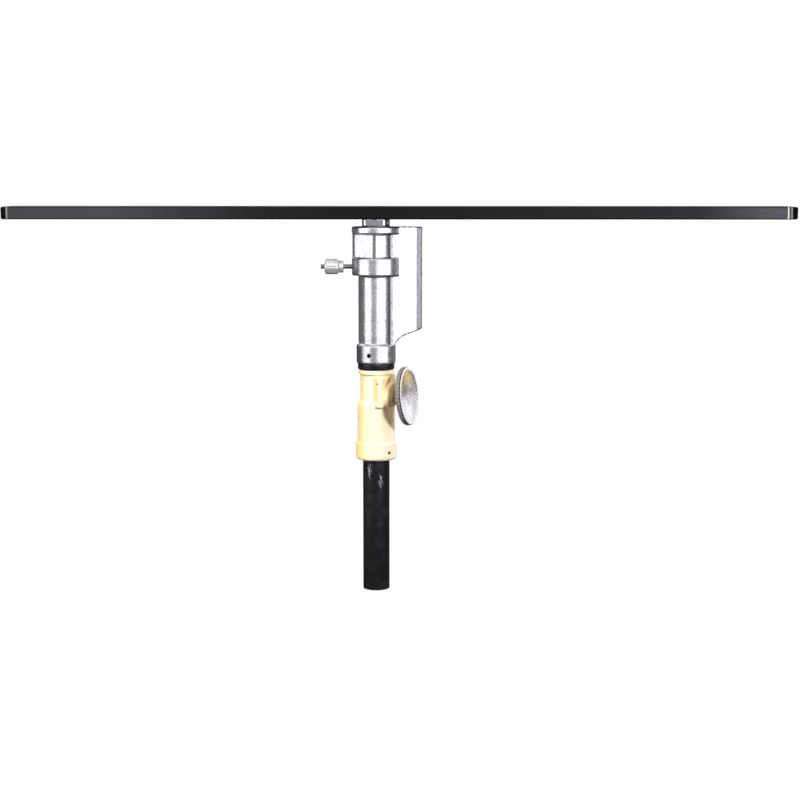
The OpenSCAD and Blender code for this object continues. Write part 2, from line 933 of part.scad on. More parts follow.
module crossbar() {
    color("#222226")
        difference() {
            translate([bar_shift, 0, 0])
                bar_blank();
            bolt_shape(seat_fit);
            bore(bolt_head_d / 2 + seat_fit, bar_top - bolt_sink, bolt_sink + over);
            dowels(dowel_d / 2 + seat_fit);
            for (i = [-bar_hole_count : bar_hole_count])
                if (i != 0)
                    translate([i * bar_hole_step, 0, 0])
                        bore(bar_hole_d / 2, bar_z - over, bar_t + 2 * over);
        }
}

outer_tube();
collar_casting();
collar_pins();
collar_liner();
liner_pin();
riser_glide();
riser_tube();
head_casting();
head_pin();
bumper_ring();
clamp_shoe();
clamp_screw();
clamp_knob();
knob_pin();
lock_tip();
lock_screw();
lock_knob();
lock_pin();
thrust_ring();
spigot_pin();
spigot_bolt();
spigot_dowels();
crossbar();
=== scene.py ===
from math import acos, atan2, cos, pi, radians, sin, tan

import bpy
import numpy as np
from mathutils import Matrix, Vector


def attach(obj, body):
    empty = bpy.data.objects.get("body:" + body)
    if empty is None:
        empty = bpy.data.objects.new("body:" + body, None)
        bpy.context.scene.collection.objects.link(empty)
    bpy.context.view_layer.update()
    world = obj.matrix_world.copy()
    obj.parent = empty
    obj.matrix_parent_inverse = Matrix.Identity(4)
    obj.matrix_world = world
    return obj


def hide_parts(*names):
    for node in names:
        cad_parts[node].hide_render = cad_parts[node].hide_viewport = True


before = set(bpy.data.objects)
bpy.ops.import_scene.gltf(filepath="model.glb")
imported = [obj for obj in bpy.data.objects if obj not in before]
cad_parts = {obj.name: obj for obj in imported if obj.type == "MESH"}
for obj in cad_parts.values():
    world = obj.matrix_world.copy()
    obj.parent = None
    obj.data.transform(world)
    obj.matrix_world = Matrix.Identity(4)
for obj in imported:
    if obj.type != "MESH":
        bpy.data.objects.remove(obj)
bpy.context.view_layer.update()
print("frame loaded, nodes:", len(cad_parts))

mm = 0.001  # the dictionaries below are in millimetres and degrees, the meshes in metres
tiny = 0.01  # how far off a line points still count as on it
scene = bpy.context.scene


def putObject(name, data):
    thing = bpy.data.objects.new(name, data)
    scene.collection.objects.link(thing)
    return thing


# camera: straight at the front, a little above the bar and tipped down

camera = {"place": (31.1, -2200, 539.9), "tipDown": 7.48, "roll": -0.02,
          "focalPixels": 1694.8, "framePixels": 800, "sensor": 36}

camData = bpy.data.cameras.new("frontCamera")
camData.sensor_width = camera["sensor"]
camData.lens = camera["sensor"] * camera["focalPixels"] / camera["framePixels"]
camObject = putObject("frontCamera", camData)
camObject.location = [c * mm for c in camera["place"]]
camObject.rotation_euler = (radians(90 - camera["tipDown"]), radians(camera["roll"]), 0)
scene.camera = camObject
scene.view_settings.view_transform = "Standard"
print("camera set")


# meshes from arrays

def putMesh(name, points, faceSets):
    # points in millimetres; each face set is an array of rows of point numbers, all faces turned
    # round if the volume they enclose (sum of triple products of fan triangles) comes out negative
    volume = 0.0
    for faces in faceSets:
        p = points[faces]
        for k in range(1, faces.shape[1] - 1):
            volume += np.einsum("ij,ij->", p[:, 0], np.cross(p[:, k], p[:, k + 1]))
    step = -1 if volume < 0 else 1
    rows = [row for faces in faceSets for row in faces[:, ::step].tolist()]
    mesh = bpy.data.meshes.new(name)
    mesh.from_pydata((points * mm).tolist(), (), rows)
    mesh.validate()
    return putObject(name, mesh)


def gridQuads(rows, cols, closeRows, closeCols):
    # four neighbours of each grid cell, the last row or column joined to the first where it closes
    i = np.arange(rows if closeRows else rows - 1)[:, None]
    j = np.arange(cols if closeCols else cols - 1)[None, :]
    nextI, nextJ = (i + 1) % rows, (j + 1) % cols
    corners = (i * cols + j, nextI * cols + j, nextI * cols + nextJ, i * cols + nextJ)
    return np.stack(np.broadcast_arrays(*corners), -1).reshape(-1, 4)


def roundedOutline(corners, steps=6):
    # closed outline: each corner (x, y, radius) becomes the arc that touches both of its sides
    spots = np.array([c[:2] for c in corners], float)
    runs = []
    for k, corner in enumerate(corners):
        here, radius = spots[k], corner[2]
        back, ahead = spots[k - 1] - here, spots[(k + 1) % len(corners)] - here
        back, ahead = back / np.linalg.norm(back), ahead / np.linalg.norm(ahead)
        if radius == 0:
            runs.append(here[None])
            continue
        half = 0.5 * acos(np.clip(back @ ahead, -1, 1))
        middle = here + (back + ahead) / np.linalg.norm(back + ahead) * radius / sin(half)
        reach = radius / tan(half)
        start, end = here + back * reach - middle, here + ahead * reach - middle
        first = atan2(start[1], start[0])
        turn = (atan2(end[1], end[0]) - first + pi) % (2 * pi) - pi
        angle = first + turn * np.linspace(0, 1, steps + 1)
        runs.append(middle + radius * np.column_stack((np.cos(angle), np.sin(angle))))
    return np.concatenate(runs)


def roundAngles(turns):
    return np.arange(turns) * 2 * pi / turns


def turnedGrid(r, h, turns):
    # distance times cosine and sine of the turn, and the height; both may change along a row
    angle = roundAngles(turns)
    return np.stack(np.broadcast_arrays(r * np.cos(angle), r * np.sin(angle), h), -1)


def turnedOutline(outline, turns):
    # the outline gives distances and heights
    outline = np.array(outline, float)
    return turnedGrid(outline[:, :1], outline[:, 1:], turns)


def ringShell(grid):
    # a grid closed in both directions, so it has no poles
    return grid.reshape(-1, 3), [gridQuads(*grid.shape[:2], True, True)]


def poleShell(grid, start=None):
    # rings of a grid closed at each end by a fan from a pole on the axis, level with the ring there unless
    # the first pole's height is given
    rows, cols = grid.shape[:2]
    start = grid[0, 0, 2] if start is None else start
    points = np.concatenate((grid.reshape(-1, 3), ((0, 0, start), (0, 0, grid[-1, 0, 2]))))
    j = np.arange(cols)
    nextJ, lastRow, poles = (j + 1) % cols, (rows - 1) * cols, rows * cols
    first = np.column_stack((np.full(cols, poles), j, nextJ))
    last = np.column_stack((np.full(cols, poles + 1), lastRow + nextJ, lastRow + j))
    return points, [gridQuads(rows, cols, False, True), first, last]


def carriedShell(stations):
    # a closed section carried along a path: neighbouring sections joined by quads, both ends capped
    rows, cols = stations.shape[:2]
    ends = np.stack((np.arange(cols), (rows - 1) * cols + np.arange(cols)[::-1]))
    return stations.reshape(-1, 3), [gridQuads(rows, cols, False, True), ends]


def raisedShell(plans, heights):
    # level plans of equally many points, one above the other
    rows = [np.column_stack((plan, np.full(len(plan), z))) for plan, z in zip(plans, heights)]
    return carriedShell(np.stack(rows))


def rodShell(radius, start, end, axis, origin=(0, 0, 0), turns=48):
    # plain round bar between two distances along an axis
    points, faces = poleShell(turnedOutline(((radius, start), (radius, end)), turns))
    return alongAxis(points, origin, axis), faces


def alongAxis(points, origin, axis):
    # turns a shape drawn up +Z so that it runs out along the axis, its own +X level
    axis = np.array(axis, float) / np.linalg.norm(axis)
    side = np.cross((0, 0, 1), axis) if abs(axis[2]) < 0.99 else np.array((1.0, 0, 0))
    side = side / np.linalg.norm(side)
    return np.array(origin, float) + points @ np.stack((side, np.cross(axis, side), axis))


def turnedPlan(points, degrees):
    # turns points round the upright axis, counterclockwise seen from above
    turn = radians(degrees)
    spun = np.array(points, float)
    spun[..., :2] = spun[..., :2] @ ((cos(turn), sin(turn)), (-sin(turn), cos(turn)))
    return spun


def joinShells(*shells):
    # several shells as one, the point numbers moved up to match
    points, faces, count = [], [], 0
    for shellPoints, shellFaces in shells:
        points.append(shellPoints)
        faces += [f + count for f in shellFaces]
        count += len(shellPoints)
    return np.concatenate(points), faces


def lumps(points, size, seed):
    # random heights on a cubic lattice, eased smoothly between the eight lattice points round each point;
    # the fraction of a large sine serves as the random number
    stride, spread = np.array((127.1, 311.7, 74.7)), 43758.5453
    spot = points / size
    low = np.floor(spot)
    part = spot - low
    part = part * part * (3 - 2 * part)
    total = np.zeros(len(points))
    for corner in np.ndindex(2, 2, 2):
        height = np.sin((low + corner) @ stride + seed) * spread
        total += (height - np.floor(height)) * np.prod(np.where(corner, part, 1 - part), axis=1)
    return total - 0.5


def bakeModifiers(piece):
    # keeps what the modifiers give as the piece's own mesh
    depsgraph = bpy.context.evaluated_depsgraph_get()
    mesh = bpy.data.meshes.new_from_object(piece.evaluated_get(depsgraph))
    piece.modifiers.clear()
    piece.data = mesh
    mesh.name = piece.name


def castSkin(piece, spec):
    # one skin over all the shells on a grid of cubes, evened out, then raised and lowered along its normals
    skin = piece.modifiers.new("skin", "REMESH")
    skin.mode = "VOXEL"
    skin.voxel_size = spec["grain"] * mm
    even = piece.modifiers.new("even", "SMOOTH")
    even.factor = 0.5
    even.iterations = spec["softening"]
    bakeModifiers(piece)
    mesh = piece.data
    spots, normals = np.empty((2, len(mesh.vertices) * 3), np.float32)
    mesh.vertices.foreach_get("co", spots)
    mesh.vertex_normals.foreach_get("vector", normals)
    spots, normals = spots.reshape(-1, 3).astype(float) / mm, normals.reshape(-1, 3)
    height = sum(depth * lumps(spots, size, seed) for seed, (size, depth) in enumerate(spec["bumps"]))
    spots += normals * height[:, None]
    mesh.vertices.foreach_set("co", (spots * mm).astype(np.float32).ravel())
    mesh.update()


def cutAway(piece, shell):
    # takes closed shapes out of a piece
    cutter = putMesh(piece.name + "_cut", *shell)
    cut = piece.modifiers.new("cut", "BOOLEAN")
    cut.operation = "DIFFERENCE"
    cut.solver = "MANIFOLD"
    cut.object = cutter
    bakeModifiers(piece)
    bpy.data.objects.remove(cutter)


def finishPiece(piece, material, body, node, crease=35):
    # smooth shading with sharp edges kept, material, body and the CAD node that it stands for
    mesh = piece.data
    mesh.polygons.foreach_set("use_smooth", np.ones(len(mesh.polygons), bool))
    mesh.set_sharp_from_angle(angle=radians(crease))
    mesh.materials.clear()
    mesh.materials.append(material)
    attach(piece, body)
    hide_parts(node)
    print(piece.name, len(mesh.polygons), "faces")


# materials

class Paint:
    # a node tree with short names for the nodes used below, which all read the same coordinates
    def __init__(self, name, family=bpy.data.materials, place="Object"):
        self.owner = family.new(name)
        self.owner.use_nodes = True
        self.nodes, self.links = self.owner.node_tree.nodes, self.owner.node_tree.links
        self.place = self.add("TexCoord", out=place)

    def feed(self, socket, value):
        # puts a number, a colour or another node's output into a socket
        if isinstance(value, bpy.types.NodeSocket):
            self.links.new(value, socket)
        else:
            socket.default_value = (*value, 1.0) if socket.type == "RGBA" else value

    def fill(self, node, **values):
        # feeds sockets by name, with spaces written as underscores
        for name, value in values.items():
            self.feed(node.inputs[name.replace("_", " ")], value)

    def add(self, kind, *values, out=0, **named):
        # one output of a new node, whose first sockets are fed in order and others by name
        node = self.nodes.new("ShaderNode" + kind)
        for socket, value in zip(node.inputs, values):
            self.feed(socket, value)
        self.fill(node, **named)
        return node.outputs[out]

    def coat(self, **values):
        # sets the usual shader and hands the material back
        self.fill(self.nodes["Principled BSDF"], **values)
        return self.owner

    def show(self, surface):
        # puts another shader in the place of the usual one
        self.nodes.remove(self.nodes["Principled BSDF"])
        self.links.new(surface, self.nodes["Material Output"].inputs[0])
        return self.owner

    def noise(self, scale, detail=3.0, rough=0.55, vector=None):
        return self.add("TexNoise", vector or self.place, Scale=scale, Detail=detail, Roughness=rough)

    def ramp(self, source, *stops):
        result = self.add("ValToRGB", source)
        band = result.node.color_ramp
        while len(band.elements) < len(stops):
            band.elements.new(0.5)
        for element, (spot, colour) in zip(band.elements, stops):
            element.position = spot
            element.color = (*colour, 1.0) if isinstance(colour, tuple) else (colour, colour, colour, 1.0)
        return result

    def mix(self, share, first, second):
        result = self.add("Mix", share, out=2)
        result.node.data_type = "RGBA"
        self.feed(result.node.inputs[6], first)
        self.feed(result.node.inputs[7], second)
        return result

    def calc(self, operation, first, second=0.0, clamp=False):
        result = self.add("Math", first, second)
        result.node.operation = operation
        result.node.use_clamp = clamp
        return result

    def plus(self, first, second):
        return self.calc("ADD", first, second)

    def less(self, first, second):
        return self.calc("SUBTRACT", first, second)

    def times(self, first, second):
        return self.calc("MULTIPLY", first, second)

    def distance(self, first, second):
        return self.calc("SQRT", self.plus(self.times(first, first), self.times(second, second)))

    def between(self, value, first, last):
        # rises from 0 at the first value to 1 at the last
        return self.calc("MULTIPLY", self.less(value, first), 1.0 / (last - first), clamp=True)

    def along(self, way):
        # millimetres along a direction, given as a vector or as the letter of an axis
        way = [float(way == letter) for letter in "XYZ"] if isinstance(way, str) else way
        result = self.add("VectorMath", self.place, Vector(way) / mm, out=1)
        result.node.operation = "DOT_PRODUCT"
        return result

    def awayFrom(self, letter, spot):
        return self.calc("ABSOLUTE", self.less(self.along(letter), spot))

    def within(self, share, limits):
        # the share times one factor for each limit, which rises from 0 to 1 between its two values in
        # millimetres; R is the distance from the upright axis
        for letter, first, last in limits:
            value = self.distance(self.along("X"), self.along("Y")) if letter == "R" else self.along(letter)
            share = self.times(self.between(value, first, last), share)
        return share

    def bumps(self, *layers):
        # bumps one on top of another, each a height, a depth in millimetres and a strength
        normal = None
        for height, depth, strength in layers:
            layer = self.add("Bump", Height=height, Distance=depth * mm, Strength=strength)
            if normal:
                self.links.new(normal, layer.node.inputs["Normal"])
            normal = layer
        return normal

    def direct(self):
        # 1 for rays from the camera, off gloss and through glass, 0 for the rest
        rays = self.add("LightPath").node.outputs
        share = self.calc("MAXIMUM", rays["Is Camera Ray"], rays["Is Glossy Ray"])
        return self.calc("MAXIMUM", share, rays["Is Transmission Ray"])


def castAluminiumPaint(h):
    # tumbled casting: bright metal with grey mottling, small pits and a lightly hammered skin, paler from the
    # web's root outwards; painted shade and dark reflections grey it within the limits of each band
    paint = Paint("castAluminium")
    broad, fine = paint.noise(120, 4), paint.noise(640, 4, 0.6)
    pits = paint.ramp(paint.add("TexVoronoi", paint.place, Scale=330), (0.0, 0.0), (0.14, 1.0))
    tone = paint.ramp(broad, *zip((0.34, 0.5, 0.66), h["metal"]))
    colour = paint.mix(paint.ramp(fine, (0.36, 0.45), (0.5, 0.0)), tone, h["mottle"])
    colour = paint.mix(paint.within(0.85, (("X", *h["webZone"]),)), colour, h["webMetal"])
    # painted shade and dark reflections: each band greys the metal within its limits
    for level, share, *limits in h["paintedShadeBands"]:
        colour = paint.mix(paint.within(share, limits), colour, (level, 0.97 * level, 1.06 * level))
    return paint.coat(Base_Color=colour, Metallic=0.95, Roughness=paint.ramp(fine, (0.3, 0.18), (0.7, 0.34)),
                      Normal=paint.bumps((broad, 0.45, 0.5), (fine, 0.14, 0.5), (pits, 0.12, 0.4)))


def creamPaintPaint(c):
    # gloss enamel over a casting: slight orange peel, faint runs, a little grime and a few chips, with painted
    # shade making it yellower or browner within the limits of each band
    paint = Paint("creamPaint")
    drift = paint.noise(30, 3)
    colour = paint.mix(paint.ramp(drift, (0.35, 0.0), (0.7, 1.0)), *c["paint"])
    # painted shade: each colour stands for shade or a cast shadow within its limits
    for tint, share, *limits in c["paintedShades"]:
        colour = paint.mix(paint.within(share, limits), colour, tint)
    grime = paint.ramp(paint.noise(140, 6, 0.7), (0.66, 0.0), (0.76, 0.2))
    chips = paint.ramp(paint.noise(420, 5, 0.65), (0.71, 0.0), (0.74, 1.0))
    colour = paint.mix(chips, paint.mix(grime, colour, c["grime"]), c["chipped"])
    peel = paint.bumps((paint.noise(380, 2), 0.12, 0.4), (paint.noise(45, 2), 0.6, 0.25), (chips, -0.1, 0.6))
    return paint.coat(Base_Color=colour, Roughness=paint.ramp(drift, (0.3, 0.24), (0.7, 0.4)), Normal=peel,
                      Coat_Weight=0.3, Coat_Roughness=0.12)


def blackTubePaint(g):
    # gloss black enamel, scuffed to grey in streaks round a few spots below the collar
    paint = Paint("blackTube")
    streaks = paint.noise(640, 5, 0.7, paint.add("Mapping", paint.place, Scale=(1, 1, 0.35)))
    patches = paint.noise(55, 4, 0.6)
    share = streaks
    for x, z, wide, high in g["scuffs"]:
        near = paint.times(paint.between(paint.awayFrom("X", x), wide, 0),
                           paint.between(paint.awayFrom("Z", z), high, 0))
        share = paint.plus(share, paint.times(near, 0.28))
    colour = paint.mix(paint.ramp(share, (0.69, 0.0), (0.76, 0.9)), g["paint"], g["scuffed"])
    colour = paint.mix(paint.ramp(patches, (0.5, 0.0), (0.75, 0.5)), colour, g["rubbed"])
    return paint.coat(Base_Color=colour, Roughness=paint.ramp(patches, (0.35, 0.2), (0.65, 0.36)),
                      Normal=paint.bumps((paint.noise(160, 3), 0.4, 0.3), (streaks, 0.1, 0.4)))


def blackBarPaint(b):
    # black anodising, rubbed bare in specks; painted light makes it paler towards both ends, painted shade
    # darkens the edges and the sides round the ends, and painted highlights run in thin lines where corners
    # begin
    paint = Paint("blackBar")
    drift, grain = paint.noise(14, 4), paint.noise(2600, 2)
    x = paint.along("X")
    fromEnd = {"left": paint.less(x, b["left"]), "right": paint.less(b["right"], x)}
    across = paint.times(fromEnd["left"], 1.0 / (b["right"] - b["left"]))
    across = paint.plus(across, paint.times(paint.less(drift, 0.5), 0.05))
    # painted light: darker in the middle of the bar, paler towards both ends
    colour = paint.ramp(across, *[(spot, (level, level, 1.18 * level)) for spot, level in b["paintedLightAlong"]])
    specks = paint.ramp(paint.noise(700, 4, 0.6), (0.72, 0.0), (0.76, 0.6))
    colour = paint.mix(specks, colour, b["speck"])
    # painted shade on the chamfered edges and on the sides round both ends
    upright = paint.awayFrom("Z", (b["z"] + b["top"]) / 2)
    edge, onSide = paint.between(upright, *b["darkEdge"]), paint.between(upright, *b["lineEdge"])
    end = paint.between(paint.calc("MINIMUM", *fromEnd.values()), *b["darkEnd"])
    dark = paint.calc("MAXIMUM", paint.times(end, onSide), paint.times(edge, 0.6))
    colour = paint.mix(dark, colour, b["dark"])
    # painted highlights: thin bright lines on the sides where the corners begin
    for side, near, far, level in b["paintedHighlightLines"]:
        line = paint.times(paint.between(fromEnd[side], near - b["lineBlur"], near),
                           paint.between(fromEnd[side], far + b["lineBlur"], far))
        colour = paint.mix(paint.times(line, onSide), colour, (level, level, 1.04 * level))
    return paint.coat(Base_Color=colour, Roughness=paint.ramp(drift, (0.3, 0.42), (0.7, 0.52)),
                      Specular_IOR_Level=paint.times(paint.less(1.0, dark), 0.18),
                      Normal=paint.bumps((grain, 0.03, 0.5)))


def rubberPaint():
    # moulded rubber with dust in its pores
    paint = Paint("blackRubber")
    dust = paint.ramp(paint.noise(350, 5, 0.65), (0.58, 0.0), (0.78, 0.2))
    return paint.coat(Base_Color=paint.mix(dust, (0.004, 0.004, 0.005), (0.05, 0.046, 0.044)),
                      Roughness=paint.ramp(dust, (0.0, 0.30), (0.4, 0.6)),
                      Normal=paint.bumps((paint.noise(900, 3), 0.08, 0.5)))


def knobFacePaint(axis, centre, radius, ribs):
    # matt casting face: pale low down, grey with dark specks higher, cream on its upper part; painted shade
    # in the rib grooves and on the cream's far side, a painted highlight on the ring round its near edge
    paint = Paint("knobFace")
    side = Vector((0, 0, 1)).cross(Vector(axis)).normalized()
    up = Vector(axis).cross(side)
    across = paint.times(paint.along(side), 1.0 / radius)
    height = paint.times(paint.less(paint.along(up), centre * up.z), 1.0 / radius)
    broad, fine = paint.noise(110, 4), paint.noise(600, 5, 0.65)
    trace = paint.plus(height, paint.times(paint.less(broad, 0.5), 0.9))
    wave = paint.calc("COSINE", paint.times(paint.calc("ARCTAN2", height, across), ribs))
    groove = paint.ramp(wave, (0.0, 1.0), (0.35, 0.0))
    pale = ((0.66, 0.66, 0.69), (0.78, 0.78, 0.81), (0.84, 0.84, 0.86))
    metal = paint.ramp(fine, *zip((0.36, 0.5, 0.66), pale))
    wear = paint.ramp(fine, (0.40, (0.17, 0.165, 0.165)), (0.60, (0.60, 0.59, 0.60)))
    worn = paint.mix(paint.between(trace, -0.25, 0.1), metal, wear)
    # painted shade in the grooves between the ribs, stronger higher up
    grooved = paint.times(groove, paint.ramp(height, (0.0, 0.22), (0.2, 0.7)))
    worn = paint.mix(grooved, worn, (0.17, 0.165, 0.17))
    cream = paint.mix(paint.ramp(fine, (0.42, 0.85), (0.58, 0.0)), (0.66, 0.53, 0.19), (0.36, 0.33, 0.24))
    cream = paint.mix(paint.times(groove, 0.3), cream, (0.22, 0.18, 0.09))
    # painted shade on the cream towards the face's far side
    edge = paint.between(across, 0.2, 0.6)
    cream = paint.mix(paint.times(edge, 0.8), cream, (0.25, 0.245, 0.25))
    colour = paint.mix(paint.times(paint.between(trace, 0.30, 0.50), 0.95), worn, cream)
    out = paint.distance(across, height)
    # painted highlight on the ring round the near edge
    ring = paint.times(paint.between(out, 0.885, 0.905), paint.between(edge, 1.0, 0.4))
    colour = paint.mix(paint.times(ring, 0.9), colour, (0.74, 0.74, 0.76))
    return paint.coat(Base_Color=colour, Metallic=0.1, Roughness=0.55,
                      Normal=paint.bumps((broad, 0.5, 0.5), (fine, 0.3, 0.6)))


def knobRimPaint(axis, centre, edgeAt, edgeBlur):
    # notched rim: grey metal under brown hand grime, with painted shade along its front edge
    paint = Paint("knobRim")
    broad, fine = paint.noise(90, 4), paint.noise(700, 5, 0.65)
    metal = paint.ramp(fine, (0.36, (0.10, 0.095, 0.09)), (0.66, (0.38, 0.375, 0.36)))
    colour = paint.mix(paint.ramp(broad, (0.42, 0.0), (0.66, 0.7)), metal, (0.26, 0.21, 0.17))
    # painted shade along the front edge of the rim
    outward = paint.less(paint.along(axis), centre * axis[2] + edgeAt)
    edge = paint.times(paint.between(outward, 0, edgeBlur), 0.92)
    colour = paint.mix(edge, colour, (0.03, 0.027, 0.03))
    return paint.coat(Base_Color=colour, Metallic=0.3, Roughness=0.6, Normal=paint.bumps((fine, 0.2, 0.6)))


def turnedMetalPaint(name, colour, dark, roughLow, roughHigh, metallic=1.0, depth=0.05):
    # machined metal: fine tool grain with soft stains
    paint = Paint(name)
    scale = 400
    stain, grain = paint.noise(scale / 6, 4, 0.6), paint.noise(scale * 3, 3)
    mixed = paint.mix(paint.ramp(stain, (0.38, 1.0), (0.62, 0.0)), colour, dark)
    return paint.coat(Base_Color=mixed, Metallic=metallic, Normal=paint.bumps((grain, depth, 0.5)),
                      Roughness=paint.ramp(stain, (0.3, roughHigh), (0.7, roughLow)))


def nylonPaint():
    # natural nylon: creamy, with faint moulding marks
    paint = Paint("whiteNylon")
    drift = paint.noise(120, 4)
    return paint.coat(Base_Color=paint.ramp(drift, (0.3, (0.80, 0.77, 0.69)), (0.7, (0.86, 0.84, 0.78))),
                      Roughness=paint.ramp(drift, (0.3, 0.35), (0.7, 0.5)),
                      Normal=paint.bumps((paint.noise(800, 3), 0.04, 0.4)))


# plain metals: colour, stained colour, least and most roughness, then metallic share and depth of the grain
metals = {"darkSteel": ((0.10, 0.10, 0.11), (0.04, 0.04, 0.045), 0.35, 0.55),
          "brightSteel": ((0.74, 0.75, 0.77), (0.60, 0.61, 0.63), 0.12, 0.26),
          "zincSteel": ((0.56, 0.56, 0.58), (0.36, 0.36, 0.38), 0.24, 0.42),
          "satinKnob": ((0.93, 0.93, 0.95), (0.80, 0.80, 0.83), 0.24, 0.34, 0.62, 0.03),
          "polishedSteel": ((0.82, 0.82, 0.84), (0.66, 0.66, 0.69), 0.06, 0.16),
          "turnedBrass": ((0.72, 0.51, 0.20), (0.48, 0.31, 0.11), 0.22, 0.4),
          "blackBolt": ((0.045, 0.045, 0.05), (0.02, 0.02, 0.022), 0.34, 0.5),
          "wornSteel": ((0.44, 0.44, 0.46), (0.30, 0.30, 0.32), 0.4, 0.55)}
finishes = {name: turnedMetalPaint(name, *look) for name, look in metals.items()}
finishes["whiteNylon"] = nylonPaint()
print("plain finishes made")


# receiver head: turned body with its bores, side web and raised pad, cast as one; a hole is given as its
# radius and the distances along its axis that it runs between

head = {"z": 300.4, "collarR": 25.5, "collarH": 24.2, "collarFillet": 2.4, "collarEdge": 2.1, "barrelR": 20.9,
        "ringZ": 414.4, "ringR": 31.05, "ringH": 22.3, "flangeZ": 468.2, "flangeR": 31.25, "top": 477,
        "edge": 1.2, "fillet": 2.2, "mouth": 0.6, "turns": 160,
        "socketR": 14.34, "socketEnd": 346.4, "ledgeR": 12.6, "receiverR": 14.35, "receiverFloor": 367,
        "webReach": 59.8, "webStart": 17.5, "webFoot": 345, "webSlope": 20, "webFillet": 28,
        "webHalves": ((17.5, 10.2), (22, 10.2), (51.4, 6.8), (59.8, 0.9)), "webSteps": 80,
        "padTurn": 39, "padInner": 17.6, "padRoot": 3, "padSink": 2, "padSteps": 41,
        "padSides": ((-21.4, 22.4), (-16.2, 23.7), (13.5, 23.7)), "seamOut": 2, "seamSpread": 9,
        "lockHole": (3.24, 6, 45), "lockZ": 425.55, "pinHole": (2.8, -40, 40), "pinUp": 11, "pinTurn": 21,
        "grain": 0.88, "softening": 2, "bumps": ((14, 0.10), (5, 0.07), (2.2, 0.05)),
        "metal": ((0.74, 0.73, 0.77), (0.87, 0.86, 0.89), (0.94, 0.94, 0.95)), "mottle": (0.40, 0.39, 0.43),
        "webMetal": (0.94, 0.94, 0.96), "webZone": (18, 26),
        # painted shade and dark reflections: each band greys the metal, as level, share, then limits
        "paintedShadeBands": ((0.30, 0.8, ("X", -19, -25), ("Z", 437.2, 436.2)),
                   (0.30, 0.7, ("X", -10, -22), ("Z", 324.6, 323.6)),
                   (0.36, 0.35, ("X", 16, 22), ("Y", -10.6, -11.6)),
                   (0.12, 0.8, ("X", 24.5, 27.5), ("Y", -10.6, -11.6)),
                   (0.10, 0.92, ("X", 15, 16.6), ("R", 23, 21.5), ("Y", -9.6, -10.4)),
                   (0.28, 0.84, ("X", 51.4, 53.2)))}
lockStart, lockAxis = (0, 0, head["lockZ"]), (-1, 0, 0)


def headBody(h):
    # half section of the head from the flange down and up the bores, turned once round; the parting line
    # raises a bell-shaped ridge down the left of the barrel
    low, high, edge, fillet, mouth = h["z"], h["top"], h["edge"], h["fillet"], h["mouth"]
    barrel, collarTop, ringTop = h["barrelR"], h["z"] + h["collarH"], h["ringZ"] + h["ringH"]
    outline = roundedOutline((
        (h["receiverR"], high, mouth), (h["flangeR"], high, edge), (h["flangeR"], h["flangeZ"], edge),
        (barrel, h["flangeZ"], fillet), (barrel, ringTop, fillet), (h["ringR"], ringTop, edge),
        (h["ringR"], h["ringZ"], edge), (barrel, h["ringZ"], fillet), (barrel, collarTop, h["collarFillet"]),
        (h["collarR"], collarTop, h["collarEdge"]), (h["collarR"], low, edge), (h["socketR"], low, mouth),
        (h["socketR"], h["socketEnd"], 0), (h["ledgeR"], h["socketEnd"], 0),
        (h["ledgeR"], h["receiverFloor"], 0), (h["receiverR"], h["receiverFloor"], 0)))
    points, faces = ringShell(turnedOutline(outline, h["turns"]))
    fromLeft = np.degrees(pi - abs(np.arctan2(points[:, 1], points[:, 0])))
    onBarrel = (abs(np.hypot(points[:, 0], points[:, 1]) - barrel) < tiny) & (points[:, 2] < h["ringZ"])
    points[:, 0] -= onBarrel * h["seamOut"] * np.exp(-(fromLeft / h["seamSpread"]) ** 2)
    return points, faces


def headWeb(h):
    # upright rectangles carried out along +X: the thickness follows the casting's draft and the chamfered
    # outer edge, the lower end follows the sloping edge and then the arc that runs into the barrel
    slope, reach, radius = radians(h["webSlope"]), h["webReach"], h["webFillet"]
    x = np.linspace(h["webStart"], reach, h["webSteps"])
    half = np.interp(x, *np.transpose(h["webHalves"]))
    arcX = h["barrelR"] + radius
    arcZ = h["webFoot"] - (reach - arcX) * tan(slope) - radius / cos(slope)
    onArc = arcZ + np.sqrt(np.clip(radius ** 2 - (arcX - x) ** 2, 0, None))
    onSlope = h["webFoot"] - (reach - x) * tan(slope)
    low = np.where(x < arcX - radius * sin(slope), onArc, onSlope)
    high = np.full_like(x, h["top"])
    corners = ((-half, low), (half, low), (half, high), (-half, high))
    return carriedShell(np.stack([np.column_stack((x, y, z)) for y, z in corners], 1))


def headPad(h):
    # flat-faced pad with a bevelled left end: a strip from an arc inside the barrel's wall out to the face,
    # carried along the face
    low, high = h["ringZ"] + h["ringH"] - h["padSink"], h["flangeZ"] + h["padSink"]
    sides, outs = np.transpose(h["padSides"])
    side = np.linspace(sides[0], sides[-1], h["padSteps"])
    near = np.sqrt(np.clip(h["padInner"] ** 2 - side ** 2, h["padRoot"] ** 2, None))
    far = np.interp(side, sides, outs)
    corners = ((near, low), (far, low), (far, high), (near, high))
    strip = np.stack([np.column_stack((out, side, np.full_like(side, z))) for out, z in corners], 1)
    return carriedShell(turnedPlan(strip, -90 - h["padTurn"]))


def buildHead(h):
    piece = putMesh("headCasting", *joinShells(headBody(h), headWeb(h), headPad(h)))
    castSkin(piece, h)
    pinWay, pinStart = turnedPlan((0, 1, 0), -h["pinTurn"]), (0, 0, h["z"] + h["pinUp"])
    cutAway(piece, joinShells(rodShell(*h["pinHole"], pinWay, pinStart),
                              rodShell(*h["lockHole"], lockAxis, lockStart)))
    finishPiece(piece, castAluminiumPaint(h), "riser", "head_casting", crease=60)


buildHead(head)


# clamp collar: turned body with its bores, flat-sided block and oval boss, cast as one and painted

